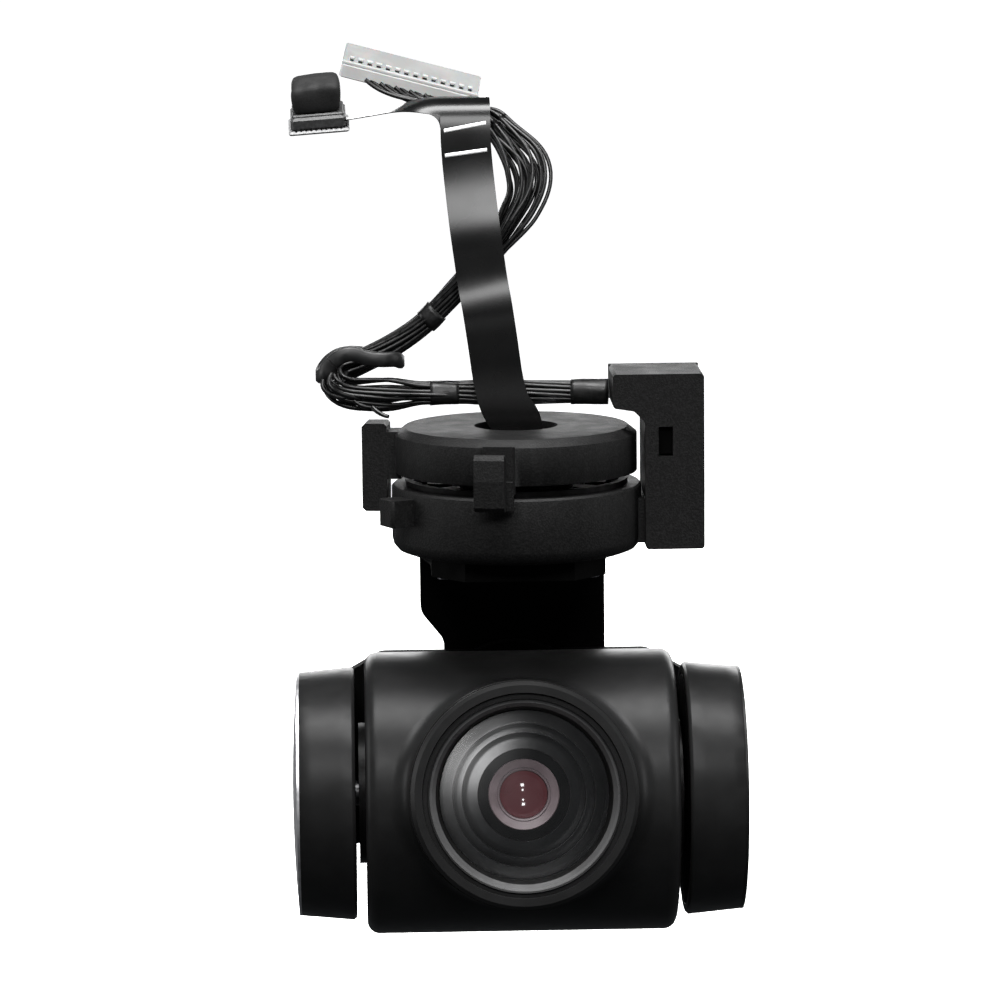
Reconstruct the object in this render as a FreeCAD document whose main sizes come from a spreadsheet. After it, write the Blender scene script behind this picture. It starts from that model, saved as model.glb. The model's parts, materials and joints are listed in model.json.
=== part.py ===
import FreeCAD, Part
import Sketcher
import math
import os
from FreeCAD import Placement, Rotation, Vector

# Three-axis camera gimbal that hangs under a small aircraft.
# Frame: millimetres, +Z up, the lens looks along -Y, +X is on the right of someone facing the lens.
# Origin: centre of the top face of the fixed upper housing, on the yaw axis.

doc = FreeCAD.newDocument("camera_gimbal")
sheet = doc.addObject("Spreadsheet::Sheet", "Dims")

DIMENSIONS = [
    # fixed upper housing and its hooks
    ("upper_radius", 14.5), ("upper_height", 5.4), ("top_chamfer", 1.1), ("top_plate", 1.4),
    ("shell_wall", 1.3), ("recess_radius", 5.0), ("hub_bore", 6.0), ("hub_wall", 0.8),
    ("hub_bottom", 12.2), ("hook_width", 3.6), ("hook_reach", 18.2), ("hook_root", 16.0),
    ("hook_slot", 0.7), ("hook_bottom", 8.0), ("hook_shift", 0.8), ("slab_inner", 15.4),
    ("slab_outer", 18.4), ("slab_width", 4.2), ("slab_top", 0.4), ("slab_bottom", 10.2),
    ("front_hook_angle", 260.5), ("rear_hook_angle", 98.0), ("left_hook_angle", 173.0),
    # yaw motor
    ("puck_gap", 1.5), ("lower_radius", 15.0), ("lower_height", 8.0), ("lower_wall", 1.6),
    ("floor_thickness", 1.5), ("yaw_shaft_radius", 4.0), ("yaw_shaft_bore", 3.2),
    ("yaw_stator_radius", 11.2), ("yaw_magnet_radius", 12.45), ("yaw_flux_radius", 13.35),
    ("motor_air_gap", 0.3), ("running_clearance", 0.03),
    ("lug_reach", 17.8), ("lug_width", 3.4), ("lug_top", 7.7), ("lug_bottom", 10.9),
    ("lug_angle", 207.0),
    # control box on the side of the lower housing
    ("box_inner", 15.2), ("box_outer", 22.25), ("box_depth", 11.6), ("box_top", 6.6),
    ("box_bottom", 14.45), ("box_wall", 1.1), ("overhang_inner", 11.4), ("overhang_bottom", 2.15),
    ("box_corner", 0.45), ("port_width", 1.7), ("port_height", 3.6), ("port_x", 17.65),
    ("port_z", -1.5),
    # arm from the lower housing to the roll motor
    ("arm_half_width", 11.5), ("arm_thickness", 2.5), ("arm_front", 20.4), ("roll_axis_z", -38.8),
    ("drum_radius", 10.4), ("drum_bore", 9.4), ("drum_depth", 6.6), ("drum_back", 1.0),
    ("cap_thickness", 1.6),
    # small motor shared by the roll and tilt axes
    ("small_shaft_radius", 1.5), ("small_hub_bore", 3.0), ("small_hub_radius", 3.8),
    ("small_stator_radius", 7.2), ("small_magnet_radius", 8.25), ("small_flux_radius", 9.0),
    # roll yoke
    ("yoke_back", 17.6), ("yoke_plate", 2.3), ("yoke_top", 14.0), ("yoke_low", 10.1),
    ("yoke_hub_radius", 9.4), ("yoke_outer", 23.6), ("yoke_disc", 1.5),
    # pods at the ends of the tilt axis
    ("tilt_axis_z", -44.7), ("pod_inner", 19.85), ("pod_end", 26.5), ("pod_radius", 15.3),
    ("pod_end_radius", 14.7), ("pod_wall", 1.3), ("cap_rim", 0.3), ("cap_crown", 0.65),
    # camera head
    ("head_pitch", -10.0), ("barrel_radius", 17.0), ("head_half_width", 18.65),
    ("head_wall", 1.3), ("head_edge", 1.5), ("tilt_hub_radius", 8.5), ("tilt_hub_disc", 0.8),
    ("lens_boss_radius", 13.55), ("lens_boss_front", 18.8), ("lens_boss_blend", 2.4),
    ("lens_bore", 11.9),
    ("bezel_radius", 13.4), ("bezel_front", 20.9), ("bezel_inner", 11.2),
    ("trim_inner", 10.45), ("glass_radius", 10.0),
    # soft leads
    ("ribbon_width", 6.0), ("ribbon_thickness", 0.3),
    ("harness_diameter", 3.0), ("sleeve_wall", 0.3),
]


class Dim:
    """A length with its value and the spreadsheet expression that gives it."""

    def __init__(self, value, text):
        self.value = float(value)
        self.text = text

    def __add__(self, other):
        return Dim(self.value + number(other), "(%s + %s)" % (self.text, text(other)))

    def __radd__(self, other):
        return self + other

    def __sub__(self, other):
        return Dim(self.value - number(other), "(%s - %s)" % (self.text, text(other)))

    def __rsub__(self, other):
        return Dim(number(other) - self.value, "(%s - %s)" % (text(other), self.text))

    def __mul__(self, factor):
        return Dim(self.value * number(factor), "(%s * %s)" % (self.text, text(factor)))

    def __rmul__(self, factor):
        return self * factor

    def __neg__(self):
        return Dim(-self.value, "(0 - %s)" % self.text)


def number(item):
    return item.value if isinstance(item, Dim) else float(item)


def text(item):
    return item.text if isinstance(item, Dim) else "%.6g" % item


for row, (alias, value) in enumerate(DIMENSIONS, start=1):
    sheet.set("A%d" % row, alias)
    sheet.set("B%d" % row, str(value))
    sheet.setAlias("B%d" % row, alias)
doc.recompute()
D = {alias: Dim(value, "Dims." + alias) for alias, value in DIMENSIONS}

# Heights worked out from the driving dimensions.
lower_top = -(D["upper_height"] + D["puck_gap"])
lower_bottom = lower_top - D["lower_height"]
floor_top = lower_bottom + D["floor_thickness"]
arm_bottom = lower_bottom - D["arm_thickness"]
TILT_Z = D["tilt_axis_z"]
ROLL_Z = D["roll_axis_z"]

TURN = {"x": Rotation(Vector(0, 1, 0), 90), "y": Rotation(Vector(1, 0, 0), -90), "z": Rotation()}
nodes = []


# ---------------------------------------------------------------- helpers

def bind(obj, prop, value):
    if isinstance(value, Dim):
        obj.setExpression(prop, value.text)
    else:
        setattr(obj, prop, value)


def put(obj, at, rotation=None):
    """Places an object; each coordinate that is a Dim stays bound to the sheet."""
    obj.Placement = Placement(Vector(*[number(c) for c in at]), rotation or Rotation())
    for letter, coordinate in zip("xyz", at):
        if isinstance(coordinate, Dim):
            obj.setExpression("Placement.Base." + letter, coordinate.text)
    return obj


def cylinder(name, radius, length, at=(0, 0, 0), axis="z"):
    obj = doc.addObject("Part::Cylinder", name)
    bind(obj, "Radius", radius)
    bind(obj, "Height", length)
    return put(obj, at, TURN[axis])


def block(name, size, at, rotation=None):
    obj = doc.addObject("Part::Box", name)
    for prop, value in zip(("Length", "Width", "Height"), size):
        bind(obj, prop, value)
    return put(obj, at, rotation)


def fuse(name, *shapes):
    obj = doc.addObject("Part::MultiFuse", name)
    obj.Shapes = list(shapes)
    obj.Refine = True
    return obj


def cut(name, base, *tools):
    obj = doc.addObject("Part::Cut", name)
    obj.Base = base
    obj.Tool = tools[0] if len(tools) == 1 else fuse(name + "_tools", *tools)
    obj.Refine = True
    return obj


def common(name, one, other):
    obj = doc.addObject("Part::Common", name)
    obj.Base = one
    obj.Tool = other
    obj.Refine = True
    return obj


def compound(name, shapes):
    obj = doc.addObject("Part::Compound", name)
    obj.Links = list(shapes)
    return obj


def tube(name, outer, inner, length, at, axis="z"):
    """A plain tube; its bore tool runs past both ends."""
    over = 1.0
    start = [c for c in at]
    start["xyz".index(axis)] = start["xyz".index(axis)] - over
    body = cylinder(name + "_body", outer, length, at, axis)
    bore = cylinder(name + "_bore", inner, length + 2 * over, start, axis)
    return cut(name, body, bore)


def rounded(obj, radius, wanted, name=None):
    """Rounds the edges of a Part object that pass the test."""
    doc.recompute()
    chosen = [i for i, edge in enumerate(obj.Shape.Edges, start=1) if wanted(edge)]
    if not chosen:
        raise ValueError("no edge to round on " + obj.Name)
    fillet = doc.addObject("Part::Fillet", name or obj.Name + "_rounded")
    fillet.Base = obj
    fillet.Edges = [(i, number(radius), number(radius)) for i in chosen]
    return fillet


def straight_edge(direction, *limits):
    """Test for a straight edge along a direction whose middle passes every limit."""
    def wanted(edge):
        if not isinstance(edge.Curve, Part.Line):
            return False
        along = edge.tangentAt(edge.FirstParameter)
        middle = edge.valueAt((edge.FirstParameter + edge.LastParameter) / 2)
        return abs(along.dot(Vector(*direction))) > 0.999 and all(limit(middle) for limit in limits)
    return wanted


def sketch_profile(body, name, plane, points):
    """A closed outline whose corners are each fixed by two distances bound to the sheet."""
    sketch = body.newObject("Sketcher::SketchObject", name)
    origin_plane = [f for f in body.Origin.OriginFeatures if f.Role == plane][0]
    sketch.AttachmentSupport = [(origin_plane, "")]
    sketch.MapMode = "FlatFace"
    flat = [Vector(number(a), number(b), 0) for a, b in points]
    for i, corner in enumerate(flat):
        sketch.addGeometry(Part.LineSegment(corner, flat[(i + 1) % len(flat)]), False)
    count = len(flat)
    for i in range(count):
        sketch.addConstraint(Sketcher.Constraint("Coincident", i, 2, (i + 1) % count, 1))
    for i, corner in enumerate(points):
        for kind, value, axis in (("DistanceX", corner[0], -2), ("DistanceY", corner[1], -1)):
            if abs(number(value)) < 1e-9:
                sketch.addConstraint(Sketcher.Constraint("PointOnObject", i, 1, axis))
                continue
            made = sketch.addConstraint(Sketcher.Constraint(kind, -1, 1, i, 1, number(value)))
            if isinstance(value, Dim):
                sketch.setExpression("Constraints[%d]" % made, value.text)
    return sketch


def revolved(name, plane, axis, points):
    """A PartDesign body turned from an outline about the vertical or horizontal sketch axis."""
    body = doc.addObject("PartDesign::Body", name)
    sketch = sketch_profile(body, name + "_outline", plane, points)
    turn = body.newObject("PartDesign::Revolution", name + "_turned")
    turn.Profile = sketch
    turn.ReferenceAxis = (sketch, [axis])
    turn.Angle = 360
    sketch.Visibility = False
    body.Tip = turn
    return body


def about_z(name, points):
    """Outline of (radius, z) pairs."""
    return revolved(name, "XZ_Plane", "V_Axis", points)


def about_x(name, points):
    """Outline of (x, radius) pairs."""
    return revolved(name, "XY_Plane", "H_Axis", points)


def about_y(name, points):
    """Outline of (radius, forward) pairs, where forward is the distance ahead along -Y."""
    return revolved(name, "XY_Plane", "V_Axis", [(r, -1 * f) for r, f in points])


def padded(name, plane, points, start, depth):
    """A PartDesign body padded from an outline; it begins at start along the plane's normal."""
    body = doc.addObject("PartDesign::Body", name)
    sketch = sketch_profile(body, name + "_outline", plane, points)
    sketch.AttachmentOffset = Placement(Vector(0, 0, number(start)), Rotation())
    if isinstance(start, Dim):
        sketch.setExpression("AttachmentOffset.Base.z", start.text)
    pad = body.newObject("PartDesign::Pad", name + "_pad")
    pad.Profile = sketch
    bind(pad, "Length", depth)
    sketch.Visibility = False
    body.Tip = pad
    return body


def node(obj, label, in_head=False):
    """Names a finished sub-part. Head parts are modelled level and tipped about the tilt axis."""
    if in_head:
        if obj.TypeId in ("Part::Box", "Part::Cylinder"):
            obj = compound(label + "_group", [obj])
        obj.Placement = Placement(Vector(0, 0, TILT_Z.value),
                                  Rotation(Vector(1, 0, 0), D["head_pitch"].value))
        obj.setExpression("Placement.Base.z", TILT_Z.text)
        obj.setExpression("Placement.Rotation.Angle", D["head_pitch"].text)
    obj.Label = label
    nodes.append((label, obj))
    return obj


def polar(radius, angle, height=0.0):
    """A point at this radius and angle about Z, in plain numbers."""
    return Vector(radius * math.cos(math.radians(angle)), radius * math.sin(math.radians(angle)), height)


# ---------------------------------------------------------------- electric motors

def motor_axis_frame(axis, centre):
    """Turns the local Z axis of a motor onto its real axis."""
    return Placement(Vector(*[number(c) for c in centre]), TURN[axis])


def stator(name, bore, radius, stack, low, slots, tooth):
    """Laminated core with a tooth for each coil; it is modelled along Z."""
    back = bore + 1.0
    teeth = [block("%s_tooth_%d" % (name, i), (radius - back + 0.5, tooth, stack), (0, 0, 0))
             for i in range(slots)]
    for i, item in enumerate(teeth):
        angle = 360.0 * i / slots
        start = polar(number(back) - 0.5, angle, number(low)) - polar(tooth / 2.0, angle + 90)
        item.Placement = Placement(start, Rotation(Vector(0, 0, 1), angle))
    core = tube(name + "_core", back, bore, stack, (0, 0, low))
    rim = cylinder(name + "_rim", radius, stack, (0, 0, low))
    return common(name, fuse(name + "_star", core, *teeth), rim)


def windings(name, bore, radius, stack, low, slots, tooth):
    """One flat coil round every tooth."""
    coils = []
    wire = 0.55
    end_turn = 0.55
    inner = number(bore) + 1.35
    reach = number(radius) - inner - 0.5
    for i in range(slots):
        angle = 360.0 * i / slots
        turn = Rotation(Vector(0, 0, 1), angle)
        outer_start = polar(inner, angle, number(low) - end_turn) - polar(tooth / 2.0 + wire, angle + 90)
        hole_start = polar(inner - 1, angle, number(low) - 0.04) - polar(tooth / 2.0 + 0.04, angle + 90)
        outer = block("%s_coil_%d" % (name, i), (reach, tooth + 2 * wire, stack + 2 * end_turn), (0, 0, 0))
        outer.Placement = Placement(outer_start, turn)
        hole = block("%s_gap_%d" % (name, i), (reach + 2, tooth + 0.08, stack + 0.08), (0, 0, 0))
        hole.Placement = Placement(hole_start, turn)
        coils.append(cut("%s_turns_%d" % (name, i), outer, hole))
    return compound(name, coils)


def magnets(name, inner, outer, length, low, count):
    """Arc magnets with a small gap between neighbours."""
    ring = tube(name + "_ring", outer, inner, length, (0, 0, low))
    gaps = []
    for i in range(count):
        angle = 360.0 * (i + 0.5) / count
        gap = block("%s_gap_%d" % (name, i), (number(outer), 0.25, number(length) + 2), (0, 0, 0))
        gap.Placement = Placement(polar(number(inner) - 1, angle, number(low) - 1)
                                  - polar(0.125, angle + 90), Rotation(Vector(0, 0, 1), angle))
        gaps.append(gap)
    return cut(name, ring, *gaps)


def ball_bearing(name, bore, outer, width, at, axis):
    """A shielded bearing: one grooved ring with the shield recesses on both faces."""
    ring = tube(name + "_ring", outer, bore + D["running_clearance"], width, at, axis)
    middle = (bore + outer) * 0.5
    depth = 0.15
    far = list(at)
    index = "xyz".index(axis)
    far[index] = far[index] + number(width) - depth
    near_groove = tube(name + "_near", middle + 0.35, middle - 0.35, depth, at, axis)
    far_groove = tube(name + "_far", middle + 0.35, middle - 0.35, depth, far, axis)
    return cut(name, ring, near_groove, far_groove)


def screw_group(name, spots, head_radius, head_height, shank_radius, shank_length, direction):
    """Small pan screws with a round socket along one axis; direction points out of the head."""
    axis = {0: "x", 1: "y", 2: "z"}[[abs(c) for c in direction].index(1)]
    index = "xyz".index(axis)
    sign = direction[index]
    screws = []
    for i, spot in enumerate(spots):
        head_at = [number(c) for c in spot]
        shank_at = list(head_at)
        hex_at = list(head_at)
        if sign > 0:
            shank_at[index] -= shank_length
            hex_at[index] += head_height * 0.5
        else:
            head_at[index] -= head_height
            hex_at[index] = head_at[index] - 0.5
        head = cylinder("%s_head_%d" % (name, i), head_radius, head_height, head_at, axis)
        shank = cylinder("%s_shank_%d" % (name, i), shank_radius, shank_length, shank_at, axis)
        socket = cylinder("%s_socket_%d" % (name, i), head_radius * 0.45,
                          head_height * 0.5 + 0.5, hex_at, axis)
        screws.append(cut("%s_%d" % (name, i),
                          fuse("%s_whole_%d" % (name, i), head, shank), socket))
    return compound(name, screws)


def screw_holes(name, spots, radius, length, direction):
    """Clearance holes for the shanks of a screw group."""
    axis = {0: "x", 1: "y", 2: "z"}[[abs(c) for c in direction].index(1)]
    index = "xyz".index(axis)
    holes = []
    for i, spot in enumerate(spots):
        start = [number(c) for c in spot]
        start[index] += -length if direction[index] > 0 else -0.5
        holes.append(cylinder("%s_hole_%d" % (name, i), radius + 0.05, length + 0.5, start, axis))
    return holes


# ---------------------------------------------------------------- fixed upper housing

def hook(name, angle):
    """J-shaped hook whose slot opens upwards; its tongue sits a little to one side of its web."""
    root, slot, reach = D["hook_root"], D["hook_slot"], D["hook_reach"]
    width, bottom = D["hook_width"], -D["hook_bottom"]
    web_outline = [
        (13.7, -0.9), (root, -0.5), (root, -4.6), (root + slot, -4.6), (root + slot, bottom),
        (15.6, bottom), (15.5, -6.3), (13.7, -6.3),
    ]
    tongue_outline = [
        (root + slot, -1.7), (root + slot + 0.35, -1.3), (reach - 0.6, -1.3), (reach - 0.2, -1.9),
        (reach, -4.3), (reach - 0.1, bottom + 0.5), (reach - 0.6, bottom), (root + 0.2, bottom),
        (root + 0.2, -4.6), (root + slot, -4.6),
    ]
    web = padded(name + "_web", "XZ_Plane", web_outline, -0.5 * width, width)
    tongue = padded(name + "_tongue", "XZ_Plane", tongue_outline,
                    -0.5 * width + D["hook_shift"], width)
    body = fuse(name, web, tongue)
    body.Placement = Placement(Vector(), Rotation(Vector(0, 0, 1), angle))
    return body


def left_slab(name, angle):
    """Tall plate beside the housing; it is a hook for the aircraft and the yaw stop."""
    inner, outer, top, bottom = D["slab_inner"], D["slab_outer"], D["slab_top"], -D["slab_bottom"]
    outline = [
        (13.7, -0.6), (inner, -0.6), (inner, top - 0.3), (inner + 0.3, top), (outer - 0.4, top),
        (outer, top - 0.4), (outer, bottom + 0.4), (outer - 0.4, bottom), (inner, bottom),
        (inner, -6.3), (13.7, -6.3),
    ]
    body = padded(name, "XZ_Plane", outline, -0.5 * D["slab_width"], D["slab_width"])
    body.Placement = Placement(Vector(), Rotation(Vector(0, 0, 1), angle))
    return body


def upper_housing():
    outer, chamfer = D["upper_radius"], D["top_chamfer"]
    inside = outer - D["shell_wall"]
    tube_outer = D["hub_bore"] + D["hub_wall"]
    shell = about_z("upper_shell", [
        (D["recess_radius"], 0), (outer - chamfer, 0), (outer, -0.8 * chamfer),
        (outer, -D["upper_height"]), (inside, -D["upper_height"]), (inside, -D["top_plate"]),
        (tube_outer, -D["top_plate"]), (tube_outer, -D["hub_bottom"]),
        (D["hub_bore"], -D["hub_bottom"]), (D["hub_bore"], -1.9), (D["recess_radius"], -1.9)])
    whole = fuse("upper_housing", shell,
                 hook("front_hook", D["front_hook_angle"].value),
                 hook("rear_hook", D["rear_hook_angle"].value),
                 left_slab("left_hook", D["left_hook_angle"].value))
    return node(whole, "upper_housing")


upper_housing()

yaw_stack = 4.0
yaw_stack_low = -11.4
hub_outer = D["hub_bore"] + D["hub_wall"]
node(stator("yaw_stator", hub_outer, D["yaw_stator_radius"], yaw_stack, yaw_stack_low, 12, 1.3),
     "yaw_stator")
node(windings("yaw_windings", hub_outer, D["yaw_stator_radius"], yaw_stack, yaw_stack_low, 12, 1.3),
     "yaw_windings")
node(tube("yaw_driver_board", 12.8, hub_outer + 0.1, 0.8, (0, 0, -3.6)), "yaw_driver_board")
bearing_width = 2.5
node(compound("yaw_bearings", [
    ball_bearing("yaw_bearing_%d" % i, D["yaw_shaft_radius"], D["hub_bore"], bearing_width,
                 (0, 0, low), "z")
    for i, low in enumerate((-1.9 - bearing_width, -D["hub_bottom"]))]), "yaw_bearings")


# ---------------------------------------------------------------- lower housing and yaw rotor

ARM_SCREWS = [(x, y, arm_bottom) for x in (-8.6, 8.6) for y in (-3.6, 6.5)]
ARM_SHANK = 3.3


def stop_lug():
    """Wedge on the lower housing's side that meets the hooks at the ends of the yaw travel."""
    height = D["lug_bottom"] - D["lug_top"]
    lug = block("stop_lug", (D["lug_reach"] - 13.8, D["lug_width"], height), (0, 0, 0))
    angle = D["lug_angle"].value
    start = polar(13.8, angle, -D["lug_bottom"].value) - polar(D["lug_width"].value / 2, angle + 90)
    lug.Placement = Placement(start, Rotation(Vector(0, 0, 1), angle))
    return rounded(lug, 0.45, straight_edge((0, 0, 1), lambda p: p.Length > 15.5))


def lower_housing():
    outer, inside = D["lower_radius"], D["lower_radius"] - D["lower_wall"]
    shell = about_z("lower_shell", [
        (D["yaw_shaft_radius"], floor_top), (D["yaw_shaft_radius"], lower_bottom),
        (outer - 1.5, lower_bottom), (outer - 0.7, lower_bottom + 0.3),
        (outer - 0.2, lower_bottom + 0.9), (outer, lower_bottom + 1.7), (outer, lower_top - 0.25),
        (outer - 0.25, lower_top), (inside, lower_top), (inside, floor_top)])
    pad_low = -D["box_bottom"] + 0.6
    saddle = block("box_saddle", (D["box_inner"] - 13.9, 8.4, 5.4), (13.9, -4.2, pad_low))
    whole = fuse("lower_whole", shell, stop_lug(), saddle)
    holes = screw_holes("lower_screws", ARM_SCREWS, 0.6, ARM_SHANK, (0, 0, -1))
    return node(cut("lower_housing", whole, *holes), "lower_housing")


lower_housing()
node(about_z("yaw_shaft", [
    (D["yaw_shaft_bore"], -1.2), (D["yaw_shaft_radius"], -1.2), (D["yaw_shaft_radius"], floor_top + 0.6),
    (5.2, floor_top + 0.6), (5.2, floor_top), (D["yaw_shaft_radius"], floor_top),
    (D["yaw_shaft_radius"], lower_bottom), (D["yaw_shaft_bore"], lower_bottom)]), "yaw_shaft")
node(tube("yaw_shaft_clip", 4.6, D["yaw_shaft_radius"], 0.5, (0, 0, -1.85)), "yaw_shaft_clip")
flux_low = floor_top + 0.05
node(tube("yaw_flux_ring", D["yaw_flux_radius"], D["yaw_magnet_radius"], 7.1, (0, 0, flux_low)),
     "yaw_flux_ring")
node(magnets("yaw_magnets", D["yaw_stator_radius"] + D["motor_air_gap"], D["yaw_magnet_radius"],
             5.2, -12.2, 14), "yaw_magnets")


# ---------------------------------------------------------------- control box

def control_box():
    inner, outer, depth = D["box_inner"], D["box_outer"], D["box_depth"]
    over, wall = D["overhang_inner"], D["box_wall"]
    top, low, shelf = D["box_top"], -D["box_bottom"], D["overhang_bottom"]
    front = 0.5 * depth
    outline = [(inner, low), (outer, low), (outer, top), (over, top), (over, shelf + 0.4),
               (inner - 1.3, shelf), (inner, shelf - 1.3)]
    shell = padded("box_shell", "XZ_Plane", outline, -front + 1.2, depth - 1.2)
    soft = rounded(shell, D["box_corner"], straight_edge((0, 1, 0)), "box_soft")
    cavity_outline = [(inner + wall, low + wall), (outer - wall, low + wall),
                      (outer - wall, top - wall), (over + wall, top - wall),
                      (over + wall, shelf + wall), (inner - 0.6, shelf + wall),
                      (inner + wall, shelf - 0.8)]
    cavity = padded("box_cavity", "XZ_Plane", cavity_outline, -front, depth - wall)
    port = block("box_port", (D["port_width"], 3.0, D["port_height"]),
                 (D["port_x"] - 0.5 * D["port_width"], -front - 1.0,
                  D["port_z"] - 0.5 * D["port_height"]))
    mouth = cylinder("box_mouth", 1.2, 2.15, (over - 1.0, 1.5, 4.05), "x")
    posts = [cylinder("post_%d" % i, 1.0, 9.5, (x, -5.0, z), "y")
             for i, (x, z) in enumerate(LID_SCREWS)]
    bores = [cylinder("post_bore_%d" % i, 0.55, 3.0, (x, front - 4.2, z), "y")
             for i, (x, z) in enumerate(LID_SCREWS)]
    hollow = cut("box_hollow", soft, cavity, port, mouth)
    node(cut("control_box_case", fuse("box_with_posts", hollow, *posts), *bores),
         "control_box_case")
    lid = padded("box_lid", "XZ_Plane", outline, -front, 1.2)
    holes = [cylinder("lid_hole_%d" % i, 0.6, 3.0, (x, front - 2.0, z), "y")
             for i, (x, z) in enumerate(LID_SCREWS)]
    node(cut("control_box_lid", lid, *holes), "control_box_lid")
    return screw_group("lid_screws", [(x, front, z) for x, z in LID_SCREWS], 1.0, 0.45, 0.5, 3.0,
                       (0, 1, 0))


LID_SCREWS = [(19.0, -11.8), (20.4, 4.1)]
lid_screw_group = control_box()
control_parts = [block("control_base", (4.4, 0.8, 13.2), (16.5, -0.9, -10.6))]
control_parts += [block("chip_%d" % i, size, at) for i, (size, at) in enumerate([
    ((3.6, 0.9, 3.6), (17.1, -1.8, -8.5)), ((2.4, 0.7, 2.4), (17.6, -1.6, 0.0)),
    ((1.6, 0.6, 3.0), (17.2, -0.1, -4.6))])]
control_parts.append(block("harness_socket", (3.4, 4.6, 1.3), (13.2, -0.8, 3.85)))
node(compound("control_board", control_parts), "control_board")
node(block("service_port", (1.9, 3.6, 2.9), (16.75, -4.6, -3.1)), "service_port")


# ---------------------------------------------------------------- yaw arm and roll motor

def yaw_arm():
    half, thick, front = D["arm_half_width"], D["arm_thickness"], D["arm_front"]
    plate = padded("arm_plate", "XY_Plane",
                   [(-half, front + thick), (-half, 9.0), (-10.4, 3.0), (-10.4, -5.5),
                    (-6.5, -10.0), (6.5, -10.0), (10.4, -5.5), (10.4, 3.0), (half, 9.0),
                    (half, front + thick)], arm_bottom, thick)
    web = padded("arm_web", "XZ_Plane",
                 [(-half, lower_bottom), (-half, -26.0), (-8.6, -29.6), (-8.6, ROLL_Z + 2.0),
                  (8.6, ROLL_Z + 2.0), (half, -32.0), (half, lower_bottom)],
                 -(front + thick), thick)
    soft_web = rounded(web, 2.4, straight_edge((0, 1, 0), lambda p: p.x < 0 and -31 < p.z < -25),
                       "arm_soft_web")
    drum = cylinder("arm_drum", D["drum_radius"], D["drum_depth"], (0, front, ROLL_Z), "y")
    gusset = padded("arm_gusset", "YZ_Plane",
                    [(front + 0.1, arm_bottom + 0.1), (front - 3.0, arm_bottom + 0.1),
                     (front + 0.1, arm_bottom - 3.0)], -9.0, 18.0)
    chamber = cylinder("arm_chamber", D["drum_bore"], D["drum_depth"] - D["drum_back"] + 1.0,
                       (0, front - 1.0, ROLL_Z), "y")
    bore = cylinder("arm_bore", D["yaw_shaft_bore"], 4.0, (0, 0, arm_bottom - 0.7), "z")
    body = cut("arm_open", fuse("arm_whole", plate, soft_web, drum, gusset), chamber, bore)
    hub = tube("arm_hub", D["small_hub_radius"], D["small_hub_bore"], 5.2,
               (0, front + 0.8, ROLL_Z), "y")
    shaft_way = cylinder("arm_shaft_way", D["small_hub_bore"], 3.0,
                         (0, front + D["drum_depth"] - 2.0, ROLL_Z), "y")
    holes = screw_holes("arm_plate_screws", ARM_SCREWS, 0.6, ARM_SHANK, (0, 0, -1))
    holes += screw_holes("drum_screws", CAP_SCREWS, 0.5, CAP_SHANK, (0, 1, 0))
    joined = cut("arm_joined", fuse("arm_with_hub", body, hub), shaft_way, *holes)
    return node(joined, "yaw_arm")


cap_start = D["arm_front"] + D["drum_depth"]
CAP_SCREWS = [(7.2 * math.cos(math.radians(a)), cap_start + D["cap_thickness"],
               ROLL_Z + 7.2 * math.sin(math.radians(a))) for a in (90, 210, 330)]
CAP_SHANK = 2.3
yaw_arm()
arm_screw_group = screw_group("arm_screw", ARM_SCREWS, 1.1, 0.5, 0.6, ARM_SHANK, (0, 0, -1))
cap = about_y("cap_turned", [
    (0, -1 * cap_start), (D["drum_radius"], -1 * cap_start),
    (D["drum_radius"], -1 * (cap_start + 0.9)),
    (D["drum_radius"] - 0.7, -1 * (cap_start + D["cap_thickness"])),
    (4.4, -1 * (cap_start + D["cap_thickness"])), (4.0, -1 * (cap_start + 1.3)),
    (0, -1 * (cap_start + 1.3))])
put(cap, (0, 0, ROLL_Z))
node(cut("roll_motor_cap", cap, *screw_holes("cap_screw", CAP_SCREWS, 0.5, CAP_SHANK, (0, 1, 0))),
     "roll_motor_cap")
cap_screw_group = screw_group("cap_fixing", CAP_SCREWS, 0.9, 0.4, 0.5, CAP_SHANK, (0, 1, 0))
node(compound("frame_screws", [arm_screw_group, cap_screw_group, lid_screw_group]), "frame_screws")
flex_back = D["arm_front"] + D["arm_thickness"]
node(block("arm_flex", (5.0, 0.2, 12.5), (-2.5, flex_back + 0.02, -28.3)), "arm_flex")


def small_motor(prefix, axis, centre, stack):
    """Stator, coils and magnets of one of the two small motors; centre is the coils' middle."""
    low = -0.5 * stack
    pieces = (
        (stator(prefix + "_stator", D["small_hub_radius"], D["small_stator_radius"], stack,
                low, 9, 1.1), "_stator"),
        (windings(prefix + "_windings", D["small_hub_radius"], D["small_stator_radius"],
                  stack, low, 9, 1.1), "_windings"),
        (magnets(prefix + "_magnets", D["small_stator_radius"] + D["motor_air_gap"],
                 D["small_magnet_radius"], stack + 0.8, low - 0.4, 12), "_magnets"),
    )
    for piece, suffix in pieces:
        piece.Placement = motor_axis_frame(axis, centre)
        for letter, coordinate in zip("xyz", centre):
            if isinstance(coordinate, Dim):
                piece.setExpression("Placement.Base." + letter, coordinate.text)
        node(piece, prefix + suffix)


roll_middle = D["arm_front"] + 3.0
small_motor("roll", "y", (0, roll_middle, ROLL_Z), 3.2)
node(compound("roll_bearings", [
    ball_bearing("roll_bearing_%d" % i, D["small_shaft_radius"], D["small_hub_bore"], 2.0,
                 (0, D["arm_front"] + start, ROLL_Z), "y")
    for i, start in enumerate((0.9, 3.9))]), "roll_bearings")


# ---------------------------------------------------------------- roll yoke and pods

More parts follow.
